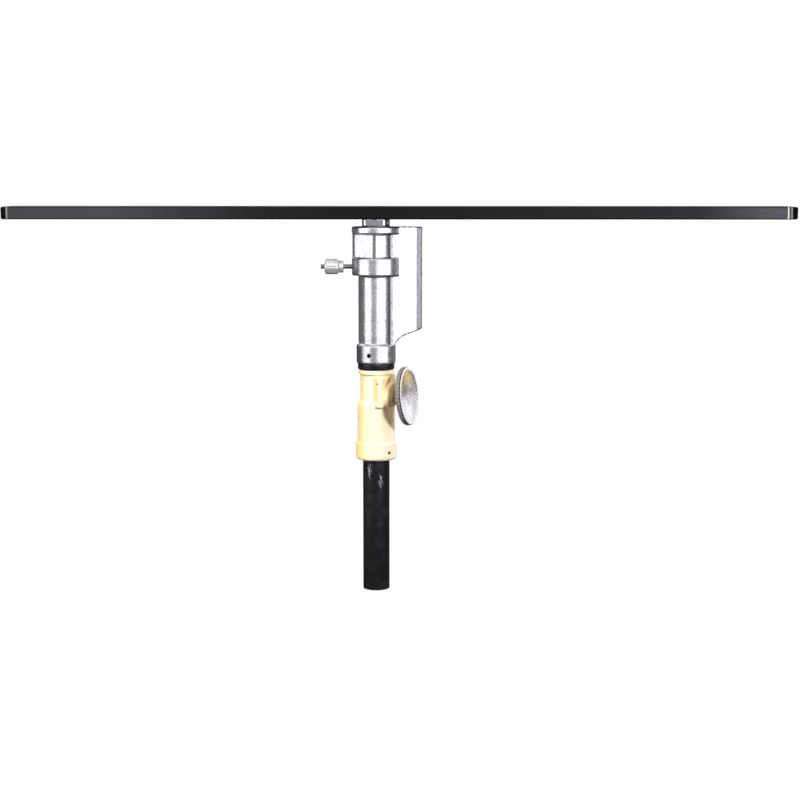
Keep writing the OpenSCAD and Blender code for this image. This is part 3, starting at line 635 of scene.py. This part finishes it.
collar = {"bandZ": 173.5, "bandR": 26.6, "bandH": 22.5, "bandEdge": 4, "bandFillet": 0.8,
          "bodyR": 24.3, "shoulderZ": 247, "shoulderEdge": 1.6, "neckZ": 251, "neckR": 20.5, "neckFillet": 1.5,
          "lipZ": 286, "lipR": 22.75, "lipFillet": 1, "top": 291.8, "edge": 1, "turns": 160,
          "tubeR": 17.1, "tubeMouth": 0.3, "linerR": 16.6, "linerMouth": 0.6,
          "blockStart": 2.5, "blockReach": 18.2, "blockHalf": 27.5, "blockLow": 244.7, "blockHigh": 282.6,
          "blockCut": 5, "blockEdge": 3, "slant": 7.2, "slantLen": 9, "slantEdges": (0.8, 1),
          "blockInner": 18.2, "hollowTurn": 77.35, "hollowSteps": 25,
          "bossR": 19.3, "bossHalf": 25.3, "bossStart": 17, "bossEnd": 26.4, "bossEdge": 2.4, "bossLow": 245.5,
          "bossTurns": 96, "bossSteps": 9, "shoe": (8.06, 10, 21.09), "screw": (4.83, 18, 40),
          "pins": (2.2, -40, 40), "pinUp": 10.6, "pinTurn": 41,
          "linerPin": (1.3, 13, 30), "linerPinAt": (10.3, 0, 275.2),
          "grain": 0.70, "softening": 1, "bumps": ((16, 0.08), (7, 0.05)),
          "paint": ((0.94, 0.86, 0.66), (0.93, 0.83, 0.60)), "grime": (0.50, 0.36, 0.16),
          "chipped": (0.36, 0.32, 0.26),
          # painted shade: colour, share and limits of the shaded left side, the browner shade on block and
          # boss, the shaded near facet of the block, the shadow under the lip and the knob's shadow below the
          # boss
          "paintedShades": (((0.97, 0.79, 0.38), 1.0, ("X", -11.5, -20.5)),
                    ((0.94, 0.77, 0.47), 1.0, ("X", 4, 10), ("Z", 205, 218)),
                    ((0.96, 0.78, 0.40), 0.9, ("X", 2.9, 2.3), ("Y", -20.6, -21.2), ("Z", 251, 253),
                     ("Z", 285, 284)),
                    ((0.50, 0.31, 0.11), 0.5, ("Z", 283.8, 284.8), ("Z", 286.6, 285.8), ("R", 22.2, 21.4)),
                    ((0.26, 0.17, 0.08), 0.7, ("X", 12.5, 18.5), ("Y", -4, -8), ("Z", 262, 252),
                     ("Z", 244, 245.5)))}

# the clamp screw's axis, turned from +X to the front and raised
clamp = {"turn": 18, "rise": 6, "z": 253.5}
clampStart, clampRise = (0, 0, clamp["z"]), radians(clamp["rise"])
clampAxis = turnedPlan((cos(clampRise), 0, sin(clampRise)), -clamp["turn"])


def collarBody(c):
    # half section from the lip down the outside and up the bores, turned once round
    edge, bodyZ = c["edge"], c["bandZ"] + c["bandH"]
    outline = roundedOutline((
        (c["linerR"], c["top"], c["linerMouth"]), (c["lipR"], c["top"], edge), (c["lipR"], c["lipZ"], edge),
        (c["neckR"], c["lipZ"], c["lipFillet"]), (c["neckR"], c["neckZ"], c["neckFillet"]),
        (c["bodyR"], c["shoulderZ"], c["shoulderEdge"]), (c["bodyR"], bodyZ, c["bandFillet"]),
        (c["bandR"], bodyZ, edge), (c["bandR"], c["bandZ"], c["bandEdge"]),
        (c["tubeR"], c["bandZ"], c["tubeMouth"]), (c["tubeR"], c["shoulderZ"], 0),
        (c["linerR"], c["shoulderZ"], 0)))
    return ringShell(turnedOutline(outline, c["turns"]))


def collarBlock(c):
    # plan of the block with slanted sides at its near end, hollowed by the bore on its inner side,
    # carried up with its near lower edge cut off
    half, reach, edge, (nearEdge, sideEdge) = c["blockHalf"], c["blockReach"], c["blockEdge"], c["slantEdges"]
    straight = c["blockStart"] + c["slantLen"]
    angle = np.radians(np.linspace(c["hollowTurn"], -c["hollowTurn"], c["hollowSteps"]))
    inX, inY = c["blockInner"] * np.cos(angle), c["blockInner"] * np.sin(angle)
    plans = []
    for start in (c["blockStart"] + c["blockCut"], c["blockStart"], c["blockStart"]):
        near = half - c["slant"] * (straight - start) / c["slantLen"]
        outer = roundedOutline(((start, -near, nearEdge), (straight, -half, sideEdge), (reach, -half, edge),
                                (reach, half, edge), (straight, half, sideEdge), (start, near, nearEdge)))
        plans.append(np.concatenate((outer, np.column_stack((np.maximum(inX, start), inY)))))
    points, faces = raisedShell(plans, (c["blockLow"], c["blockLow"] + c["blockCut"], c["blockHigh"]))
    return turnedPlan(points, -clamp["turn"]), faces


def collarBoss(c):
    # oval boss along the clamp screw, from inside the collar's wall to its flat end, its underside cut level
    edge = c["bossEdge"]
    angle = np.linspace(0, pi / 2, c["bossSteps"])
    r = np.append(c["bossR"], c["bossR"] - edge + edge * np.cos(angle))
    s = np.append(c["bossStart"], c["bossEnd"] - edge + edge * np.sin(angle))
    points, faces = poleShell(turnedOutline(np.column_stack((r, s)), c["bossTurns"]))
    points = alongAxis(points * (c["bossHalf"] / c["bossR"], 1, 1), clampStart, clampAxis)
    points[:, 2] = np.maximum(points[:, 2], c["bossLow"])
    return points, faces


def buildCollar(c):
    piece = putMesh("collarCasting", *joinShells(collarBody(c), collarBlock(c), collarBoss(c)))
    castSkin(piece, c)
    pinWay, pinStart = turnedPlan((0, -1, 0), c["pinTurn"]), (0, 0, c["bandZ"] + c["pinUp"])
    linerWay, linerStart = turnedPlan(((0, -1, 0), c["linerPinAt"]), -clamp["turn"])
    for hole, way, start in ((c["pins"], pinWay, pinStart), (c["shoe"], clampAxis, clampStart),
                             (c["screw"], clampAxis, clampStart), (c["linerPin"], linerWay, linerStart)):
        cutAway(piece, rodShell(*hole, way, start))
    finishPiece(piece, creamPaintPaint(c), "column", "collar_casting", crease=60)


buildCollar(collar)


# disc knob: turned disc whose rim is notched and whose face carries radial ribs

knob = {"r": 38, "mid": 42.5, "rimT": 7.4, "rimW": 5.5, "rimDraft": 0.5, "rimSoft": 0.5, "rimFillet": 0.8,
        "edge": 1.5, "webT": 5, "hubR": 9.5, "hubStart": 27.6, "hubFillet": 1.2, "hubEdge": 0.8,
        "boreR": 4.81, "boreEdge": 0.4,
        "centreR": 11, "centreDraft": 0.8, "centreDrop": 0.2, "centreEdge": 0.9,
        "notches": 48, "notchDepth": 0.55, "notchFrom": 1.5, "notchBlend": 3, "notchPower": 0.8,
        "ribs": 36, "ribHeight": 1.1, "ribGap": 0.2, "ribMargins": (1.4, 1), "ribSteps": 14,
        "rimFrom": 1, "rimBelow": 0.3, "edgeShadeFrom": 1.5, "edgeShadeBlur": 0.6, "turns": 432}


def buildKnob(k):
    # radius and height of a half section at each turn angle: the rim loses a rounded notch at even steps,
    # and the face between centre and rim gains a raised cosine at each rib
    front, back = k["mid"] + k["rimT"] / 2, k["mid"] - k["rimT"] / 2
    webFront, webBack, rimIn = k["mid"] + k["webT"] / 2, k["mid"] - k["webT"] / 2, k["r"] - k["rimW"]
    rimTop, centre, middle = rimIn + k["rimDraft"], k["centreR"], front - k["centreDrop"]
    faceFrom, faceTo = centre + k["ribMargins"][0], rimIn - k["ribMargins"][1]
    outline = roundedOutline((
        (0, k["mid"], 0), (0, middle, 0), (centre, middle - k["centreDrop"], k["centreEdge"]),
        (centre + k["centreDraft"], webFront, 0),
        *[(r, webFront, 0) for r in np.linspace(faceFrom, faceTo, k["ribSteps"])],
        (rimIn, webFront, 0), (rimTop, front, k["rimSoft"]), (k["r"], front, k["edge"]),
        (k["r"], back, k["edge"]), (rimTop, back, k["rimSoft"]), (rimIn, webBack, k["rimFillet"]),
        (k["hubR"], webBack, k["hubFillet"]), (k["hubR"], k["hubStart"], k["hubEdge"]),
        (k["boreR"], k["hubStart"], k["boreEdge"]), (k["boreR"], k["mid"], 0)))
    out, up = outline[2:, :1], outline[2:, 1:]  # without the two points on the axis, where the poles are
    angle = roundAngles(k["turns"])
    onRim = np.clip((out - rimIn - k["notchFrom"]) / k["notchBlend"], 0, 1)
    notch = np.clip(np.cos(angle * k["notches"]), 0, 1) ** k["notchPower"]
    onFace = (abs(up - webFront) < tiny) & (out > faceFrom - tiny) & (out < faceTo + tiny)
    rib = np.clip(np.cos(angle * k["ribs"]) - k["ribGap"], 0, 1) / (1 - k["ribGap"])
    grid = turnedGrid(out - onRim * notch * k["notchDepth"], up + onFace * rib * k["ribHeight"], k["turns"])
    points, faces = poleShell(grid, middle)
    piece = putMesh("discKnob", alongAxis(points, clampStart, clampAxis), faces)
    face = knobFacePaint(clampAxis, clamp["z"], k["r"], k["ribs"])
    finishPiece(piece, face, "knob", "clamp_knob", crease=40)
    # painted shade along the rim's front edge, from a little in front of its middle
    rim = knobRimPaint(clampAxis, clamp["z"], k["mid"] + k["edgeShadeFrom"], k["edgeShadeBlur"])
    piece.data.materials.append(rim)
    rimRow = (out[:-1, 0] > rimIn + k["rimFrom"]) & (up[:-1, 0] < front - k["rimBelow"])
    onRim = np.concatenate((np.repeat(rimRow, k["turns"]), np.zeros(2 * k["turns"], bool)))
    piece.data.polygons.foreach_set("material_index", onRim.astype(np.int32))


buildKnob(knob)


# screws: threaded rods, the depth and taper of their thread in shares of its pitch

thread = {"depth": 0.54, "root": 1.3, "flank": 3.9, "taper": 0.7, "steps": 8, "turns": 40, "endDrop": 0.5}
clampScrew = {"r": 4.7625, "pitch": 1.5875, "start": 18.19, "end": 42.5}
lockScrew = {"r": 3.175, "pitch": 1.27, "start": 18.19, "end": 71.65}


def buildScrew(name, screw, origin, axis, body, node):
    # the radius falls by a flat-topped wave of the distance along the rod less one pitch for each full turn
    t, start, end, pitch = thread, screw["start"], screw["end"], screw["pitch"]
    s = np.arange(start, end, pitch / t["steps"])[:, None]
    phase = (s / pitch - roundAngles(t["turns"]) / (2 * pi)) % 1.0
    depth = t["depth"] * pitch * np.clip(t["root"] - t["flank"] * abs(phase - 0.5), 0, 1)
    taper = np.clip(np.minimum(s - start, end - s) / (t["taper"] * pitch), 0, 1)
    grid = turnedGrid(screw["r"] - depth * taper - t["endDrop"] * (1 - taper), s, t["turns"])
    points, faces = poleShell(grid)
    piece = putMesh(name, alongAxis(points, origin, axis), faces)
    finishPiece(piece, finishes["zincSteel"], body, node, crease=50)


buildScrew("clampScrew", clampScrew, clampStart, clampAxis, "knob", "clamp_screw")
buildScrew("lockScrew", lockScrew, lockStart, lockAxis, "lock", "lock_screw")


# barrel knob on the lock screw: turned ring with round flutes along its barrel

lockKnob = {"start": 42.05, "neckR": 7.85, "neckLen": 6, "neckEdge": 0.8, "neckFillet": 0.5, "r": 10,
            "end": 66.45, "edge": 3.4, "clearance": 0.05, "mouths": (0.3, 0.5),
            "flutes": 10, "fluteR": 2.4, "fluteDepth": 0.45, "turns": 240, "steps": 8}


def buildLockKnob(k):
    # each flute is a circle that stands just outside the barrel: the radius is where a ray meets it
    shoulder, bore = k["start"] + k["neckLen"], lockScrew["r"] + k["clearance"]
    outline = roundedOutline((
        (bore, k["start"], k["mouths"][0]), (k["neckR"], k["start"], k["neckEdge"]),
        (k["neckR"], shoulder, k["neckFillet"]), (k["r"], shoulder, k["edge"]), (k["r"], k["end"], k["edge"]),
        (bore, k["end"], k["mouths"][1])), k["steps"])
    out, up = outline[:, :1], outline[:, 1:]
    step = 2 * pi / k["flutes"]
    off = (roundAngles(k["turns"]) + step / 2) % step - step / 2
    stand = k["r"] + k["fluteR"] - k["fluteDepth"]
    inside = np.clip(k["fluteR"] ** 2 - (stand * np.sin(off)) ** 2, 0, None)
    fluted = np.where(inside > 0, np.minimum(stand * np.cos(off) - np.sqrt(inside), k["r"]), k["r"])
    onBarrel = (up > shoulder - tiny) & (out > k["neckR"])
    points, faces = ringShell(turnedGrid(np.where(onBarrel, np.minimum(out, fluted), out), up, k["turns"]))
    piece = putMesh("barrelKnob", alongAxis(points, lockStart, lockAxis), faces)
    finishPiece(piece, finishes["satinKnob"], "lock", "lock_knob", crease=45)


buildLockKnob(lockKnob)


# lower tube, rubber bumper and thrust ring: rounded outlines turned once round

tube = {"r": 17.45, "bore": 15.8, "seatR": 17.05, "mouth": 0.4, "seatEdge": 0.3,
        "paint": (0.009, 0.009, 0.011), "scuffed": (0.40, 0.42, 0.50), "rubbed": (0.022, 0.022, 0.026),
        "scuffs": ((-8.8, 159, 5.5, 20), (6, 147, 6.5, 20))}
bumper = {"r": 24, "bore": 14.34, "z": collar["top"], "top": head["z"], "lowEdge": 2.4, "highEdge": 0.8,
          "mouth": 0.4, "groove": 0.9, "grooveSteps": 13}
thrust = {"r": 18, "bore": 14.35, "z": head["top"], "h": 1.5, "edge": 0.5, "mouth": 0.3}
ringTurns = 128


def buildRing(name, corners, material, body, node):
    piece = putMesh(name, *ringShell(turnedOutline(roundedOutline(corners), ringTurns)))
    finishPiece(piece, material, body, node)


def buildTube(g, seat, top):
    corners = ((g["bore"], 0, g["mouth"]), (g["r"], 0, g["mouth"]), (g["r"], seat, 0), (g["seatR"], seat, 0),
               (g["seatR"], top, g["seatEdge"]), (g["bore"], top, g["seatEdge"]))
    buildRing("lowerTube", corners, blackTubePaint(g), "column", "outer_tube")


def buildBumper(g):
    # a half-round groove runs round it at the middle of its height
    low, high, out, mouth = g["z"], g["top"], g["r"], g["mouth"]
    angle = np.linspace(-pi / 2, pi / 2, g["grooveSteps"])
    groove = zip(out - g["groove"] * np.cos(angle), (low + high) / 2 + g["groove"] * np.sin(angle))
    corners = ((g["bore"], low, mouth), (out, low, g["lowEdge"]), *[(r, z, 0) for r, z in groove],
               (out, high, g["highEdge"]), (g["bore"], high, mouth))
    buildRing("bumperRing", corners, rubberPaint(), "riser", "bumper_ring")


def buildThrust(g):
    low, high, edge, mouth = g["z"], g["z"] + g["h"], g["edge"], g["mouth"]
    corners = ((g["bore"], low, mouth), (g["r"], low, edge), (g["r"], high, edge), (g["bore"], high, mouth))
    buildRing("thrustRing", corners, finishes["wornSteel"], "ring", "thrust_ring")


buildTube(tube, collar["bandZ"], collar["shoulderZ"])
buildBumper(bumper)
buildThrust(thrust)


# junior pin: turned pin with a shoulder under the bar, flats on the shoulder, bored for bolt and dowels

pin = {"r": 14.2875, "foot": 371, "chamfer": 2, "chamferEdge": 0.3, "seatR": 18, "seatZ": 478.6, "top": 487,
       "edge": 0.5, "flats": ((-9, 12.7), (-33, 16.3), (15, 16.3)), "flatLow": 478, "flatHigh": 485.8,
       "boltR": 4.8125, "boltFrom": 456.9, "dowelR": 2.45, "dowelAt": 10.25, "dowelFrom": 477, "turns": 128}
cutPast = 1  # how far a cut runs past the face it opens on


def flatCutter(p, turn, half, side):
    # block that takes one flat off the shoulder
    out = 2 * p["seatR"]
    plan = np.array(((-out, half), (out, half), (out, out), (-out, out))) * side
    return raisedShell([turnedPlan(plan, turn)] * 2, (p["flatLow"], p["flatHigh"]))


def dowelHoles(p, low, high):
    return [rodShell(p["dowelR"], low, high, (0, 0, 1), (side * p["dowelAt"], 0, 0)) for side in (-1, 1)]


def buildPin(p):
    outline = roundedOutline((
        (0, p["foot"], 0), (p["r"] - p["chamfer"], p["foot"], p["chamferEdge"]),
        (p["r"], p["foot"] + p["chamfer"], p["chamferEdge"]), (p["r"], p["seatZ"], 0),
        (p["seatR"], p["seatZ"], p["edge"]), (p["seatR"], p["top"], p["edge"]), (0, p["top"], 0)))
    piece = putMesh("juniorPin", *poleShell(turnedOutline(outline[1:-1], p["turns"])))
    past = p["top"] + cutPast
    bolt = rodShell(p["boltR"], p["boltFrom"], past, (0, 0, 1))
    flats = [flatCutter(p, turn, half, side) for turn, half in p["flats"] for side in (1, -1)]
    for hole in (bolt, *dowelHoles(p, p["dowelFrom"], past), *flats):
        cutAway(piece, hole)
    finishPiece(piece, finishes["polishedSteel"], "bar", "spigot_pin", crease=15)


buildPin(pin)


# cross bar: rounded plan carried up through a chamfered section, then drilled

bar = {"left": -477.8, "right": 538.2, "half": 38.1, "z": pin["top"], "top": 502.9, "edge": 1.5,
       "corner": 10.5, "cornerSteps": 12,
       "holeR": 3.97, "holeMouth": 0.5, "holeStep": 101.6, "holes": 4, "holeTurns": 48,
       "boltR": 4.81, "boltHeadR": 9.3, "boltSink": 0.4, "boltTurns": 64, "dowelIn": 10,
       # the levels along the bar paint light; the dark edge and dark end limits paint shade; each line paints
       # a highlight
       "paintedLightAlong": ((0.02, 0.033), (0.13, 0.041), (0.31, 0.0097), (0.42, 0.0038), (0.56, 0.0038), (0.75, 0.0072),
                (0.875, 0.0110), (0.955, 0.052), (1.0, 0.060)),
       "speck": (0.09, 0.09, 0.10), "dark": (0.004, 0.004, 0.005),
       "darkEdge": (6.2, 6.8), "darkEnd": (8.8, 8), "lineEdge": (7.9, 7.5), "lineBlur": 0.3,
       "paintedHighlightLines": (("left", 9, 10.8, 0.17), ("right", 9, 10.4, 0.16), ("right", 13.4, 15, 0.5))}


def barHole(b, x):
    # drilled hole with a small cone at both mouths
    low, high, r, mouth = b["z"], b["top"], b["holeR"], b["holeMouth"]
    wide = r + mouth + cutPast
    outline = ((wide, low - cutPast), (r, low + mouth), (r, high - mouth), (wide, high + cutPast))
    points, faces = poleShell(turnedOutline(outline, b["holeTurns"]))
    return points + (x, 0, 0), faces


def boltSeat(b):
    # clearance hole, countersunk cone and the shallow sink above the bolt's head
    r, wide, seat = b["boltR"], b["boltHeadR"], b["top"] - b["boltSink"]
    outline = ((r, b["z"] - cutPast), (r, seat - (wide - r)), (wide, seat), (wide, b["top"] + cutPast))
    return poleShell(turnedOutline(outline, b["boltTurns"]))


def buildBar(b):
    edge, plans = b["edge"], []
    for inset in (edge, 0, 0, edge):
        left, right, half = b["left"] + inset, b["right"] - inset, b["half"] - inset
        corners = ((left, -half), (right, -half), (right, half), (left, half))
        plans.append(roundedOutline([(x, y, b["corner"] - inset) for x, y in corners], b["cornerSteps"]))
    piece = putMesh("crossBar", *raisedShell(plans, (b["z"], b["z"] + edge, b["top"] - edge, b["top"])))
    steps = [n for n in range(-b["holes"], b["holes"] + 1) if n]
    cutAway(piece, joinShells(*[barHole(b, n * b["holeStep"]) for n in steps], boltSeat(b),
                              *dowelHoles(pin, b["z"] - cutPast, b["z"] + b["dowelIn"])))
    finishPiece(piece, blackBarPaint(b), "bar", "crossbar", crease=30)


buildBar(bar)


# CAD nodes that keep their own shape

keptNodes = {"darkSteel": ("liner_pin", "head_pin", "knob_pin", "lock_pin"), "brightSteel": ("riser_tube",),
             "blackBolt": ("collar_pins", "spigot_bolt"), "whiteNylon": ("collar_liner", "riser_glide"),
             "turnedBrass": ("clamp_shoe", "lock_tip"), "zincSteel": ("spigot_dowels",)}
for finish, nodeNames in keptNodes.items():
    for nodeName in nodeNames:
        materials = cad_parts[nodeName].data.materials
        materials.clear()
        materials.append(finishes[finish])
print("CAD nodes painted")


# studio: pale floor, white surroundings, four soft lamps, and sheets that only reflections see; a lamp has
# its turn from the front, rise, distance, size, watts and colour, a sheet its two angles and its level

studio = {"floorReach": 6000, "floorDrop": 0.3, "floorSteps": 25, "turns": 64,
          "fill": (0.03, 0.75), "fillEdge": (0.05, 0.45), "target": (0, 0, 400),
          "lamps": {"key": (36, 18, 2300, (350, 350), 55, (0.96, 0.94, 1.0)),
                    "left": (-64, 14, 1900, (800, 900), 38, (1.0, 0.97, 0.86)),
                    "above": (-15, 65, 1950, (700, 700), 20, (1.0, 0.90, 0.74)),
                    "rim": (138, 4, 1900, (500, 600), 36, (1.0, 0.95, 0.85))},
          "sheets": ((-180, -84, 0.10), (-84, -36, 1.7), (-36, 6, 0.38), (6, 74, 1.75), (74, 180, 0.15)),
          "sheetAway": 1700, "sheetTop": 1000, "sheetTint": (1.0, 0.98, 1.04), "sheetSteps": 25,
          "under": 0.04, "underFrom": 18, "underUp": 1, "underSteps": 12,
          "bounce": 0.10, "glow": 0.75, "shadowShare": 0.25, "shadowReach": (350, 1100)}


def buildFloor(s):
    # flat disc of growing rings, white to the camera apart from the shadow near the object
    reach = np.linspace(0, 1, s["floorSteps"])[1:, None] ** 2 * s["floorReach"]
    points, faces = poleShell(turnedGrid(reach, -s["floorDrop"], s["turns"]))
    floor = putMesh("floor", points, faces[:2])
    paint = Paint("paleFloor")
    plain, shaded = [paint.add("BsdfDiffuse", (level,) * 3) for level in (s["bounce"], s["shadowShare"])]
    glow, white = [paint.add("Emission", (level,) * 3) for level in (s["glow"], 1.0)]
    far = paint.within(1.0, (("R", *s["shadowReach"]),))
    seen = paint.add("MixShader", far, paint.add("AddShader", shaded, glow), white)
    floor.data.materials.append(paint.show(paint.add("MixShader", paint.direct(), plain, seen)))


def putSheet(name, grid, closed, level, tint):
    # an even glow of one level that only reflections see
    sheet = putMesh(name, grid.reshape(-1, 3), [gridQuads(*grid.shape[:2], False, closed)])
    paint = Paint(name)
    sheet.data.materials.append(paint.show(paint.add("Emission", tint, level)))
    sheet.visible_camera = sheet.visible_diffuse = sheet.visible_shadow = sheet.visible_transmission = False


def buildSheets(s):
    # upright sheets bent round the object, each between two angles, and a dark disc on the floor
    away, heights = s["sheetAway"], ((0,), (s["sheetTop"],))
    for number, (first, last, level) in enumerate(s["sheets"]):
        angle = np.radians(np.linspace(first, last, s["sheetSteps"]))
        grid = np.stack(np.broadcast_arrays(away * np.sin(angle), -away * np.cos(angle), heights), -1)
        putSheet("sheet%d" % number, grid, False, level, s["sheetTint"])
    reach = np.linspace(s["underFrom"], away, s["underSteps"])[:, None]
    putSheet("underSheet", turnedGrid(reach, s["underUp"], s["turns"]), True, s["under"], s["sheetTint"])


def buildLamp(name, target, turn, rise, away, size, watts, colour):
    # soft box at an angle from the front and a rise above level, turned to face the object
    rise = radians(rise)
    data = bpy.data.lights.new(name, "AREA")
    data.shape = "RECTANGLE"
    data.size, data.size_y = size[0] * mm, size[1] * mm
    data.energy, data.color = watts, colour
    lamp = putObject(name, data)
    way = Vector(turnedPlan((0, -cos(rise), sin(rise)), turn))
    lamp.location = (Vector(target) + way * away) * mm
    lamp.rotation_euler = way.to_track_quat("Z", "Y").to_euler()
    lamp.visible_glossy = False


def buildWorld(s):
    # white to the camera and to reflections; the rest gets a soft glow from behind the object
    sky = Paint("studio", bpy.data.worlds, "Generated")
    low, high = s["fill"]
    behind = sky.between(sky.add("SeparateXYZ", sky.place, out="Y"), *s["fillEdge"])
    soft = sky.plus(sky.times(behind, high - low), low)
    sky.fill(sky.nodes["Background"], Color=sky.mix(sky.direct(), soft, (1.0, 1.0, 1.0)))
    scene.world = sky.owner


buildFloor(studio)
buildWorld(studio)
for lampName, lampSpec in studio["lamps"].items():
    buildLamp(lampName + "Lamp", studio["target"], *lampSpec)
buildSheets(studio)
print("studio set")
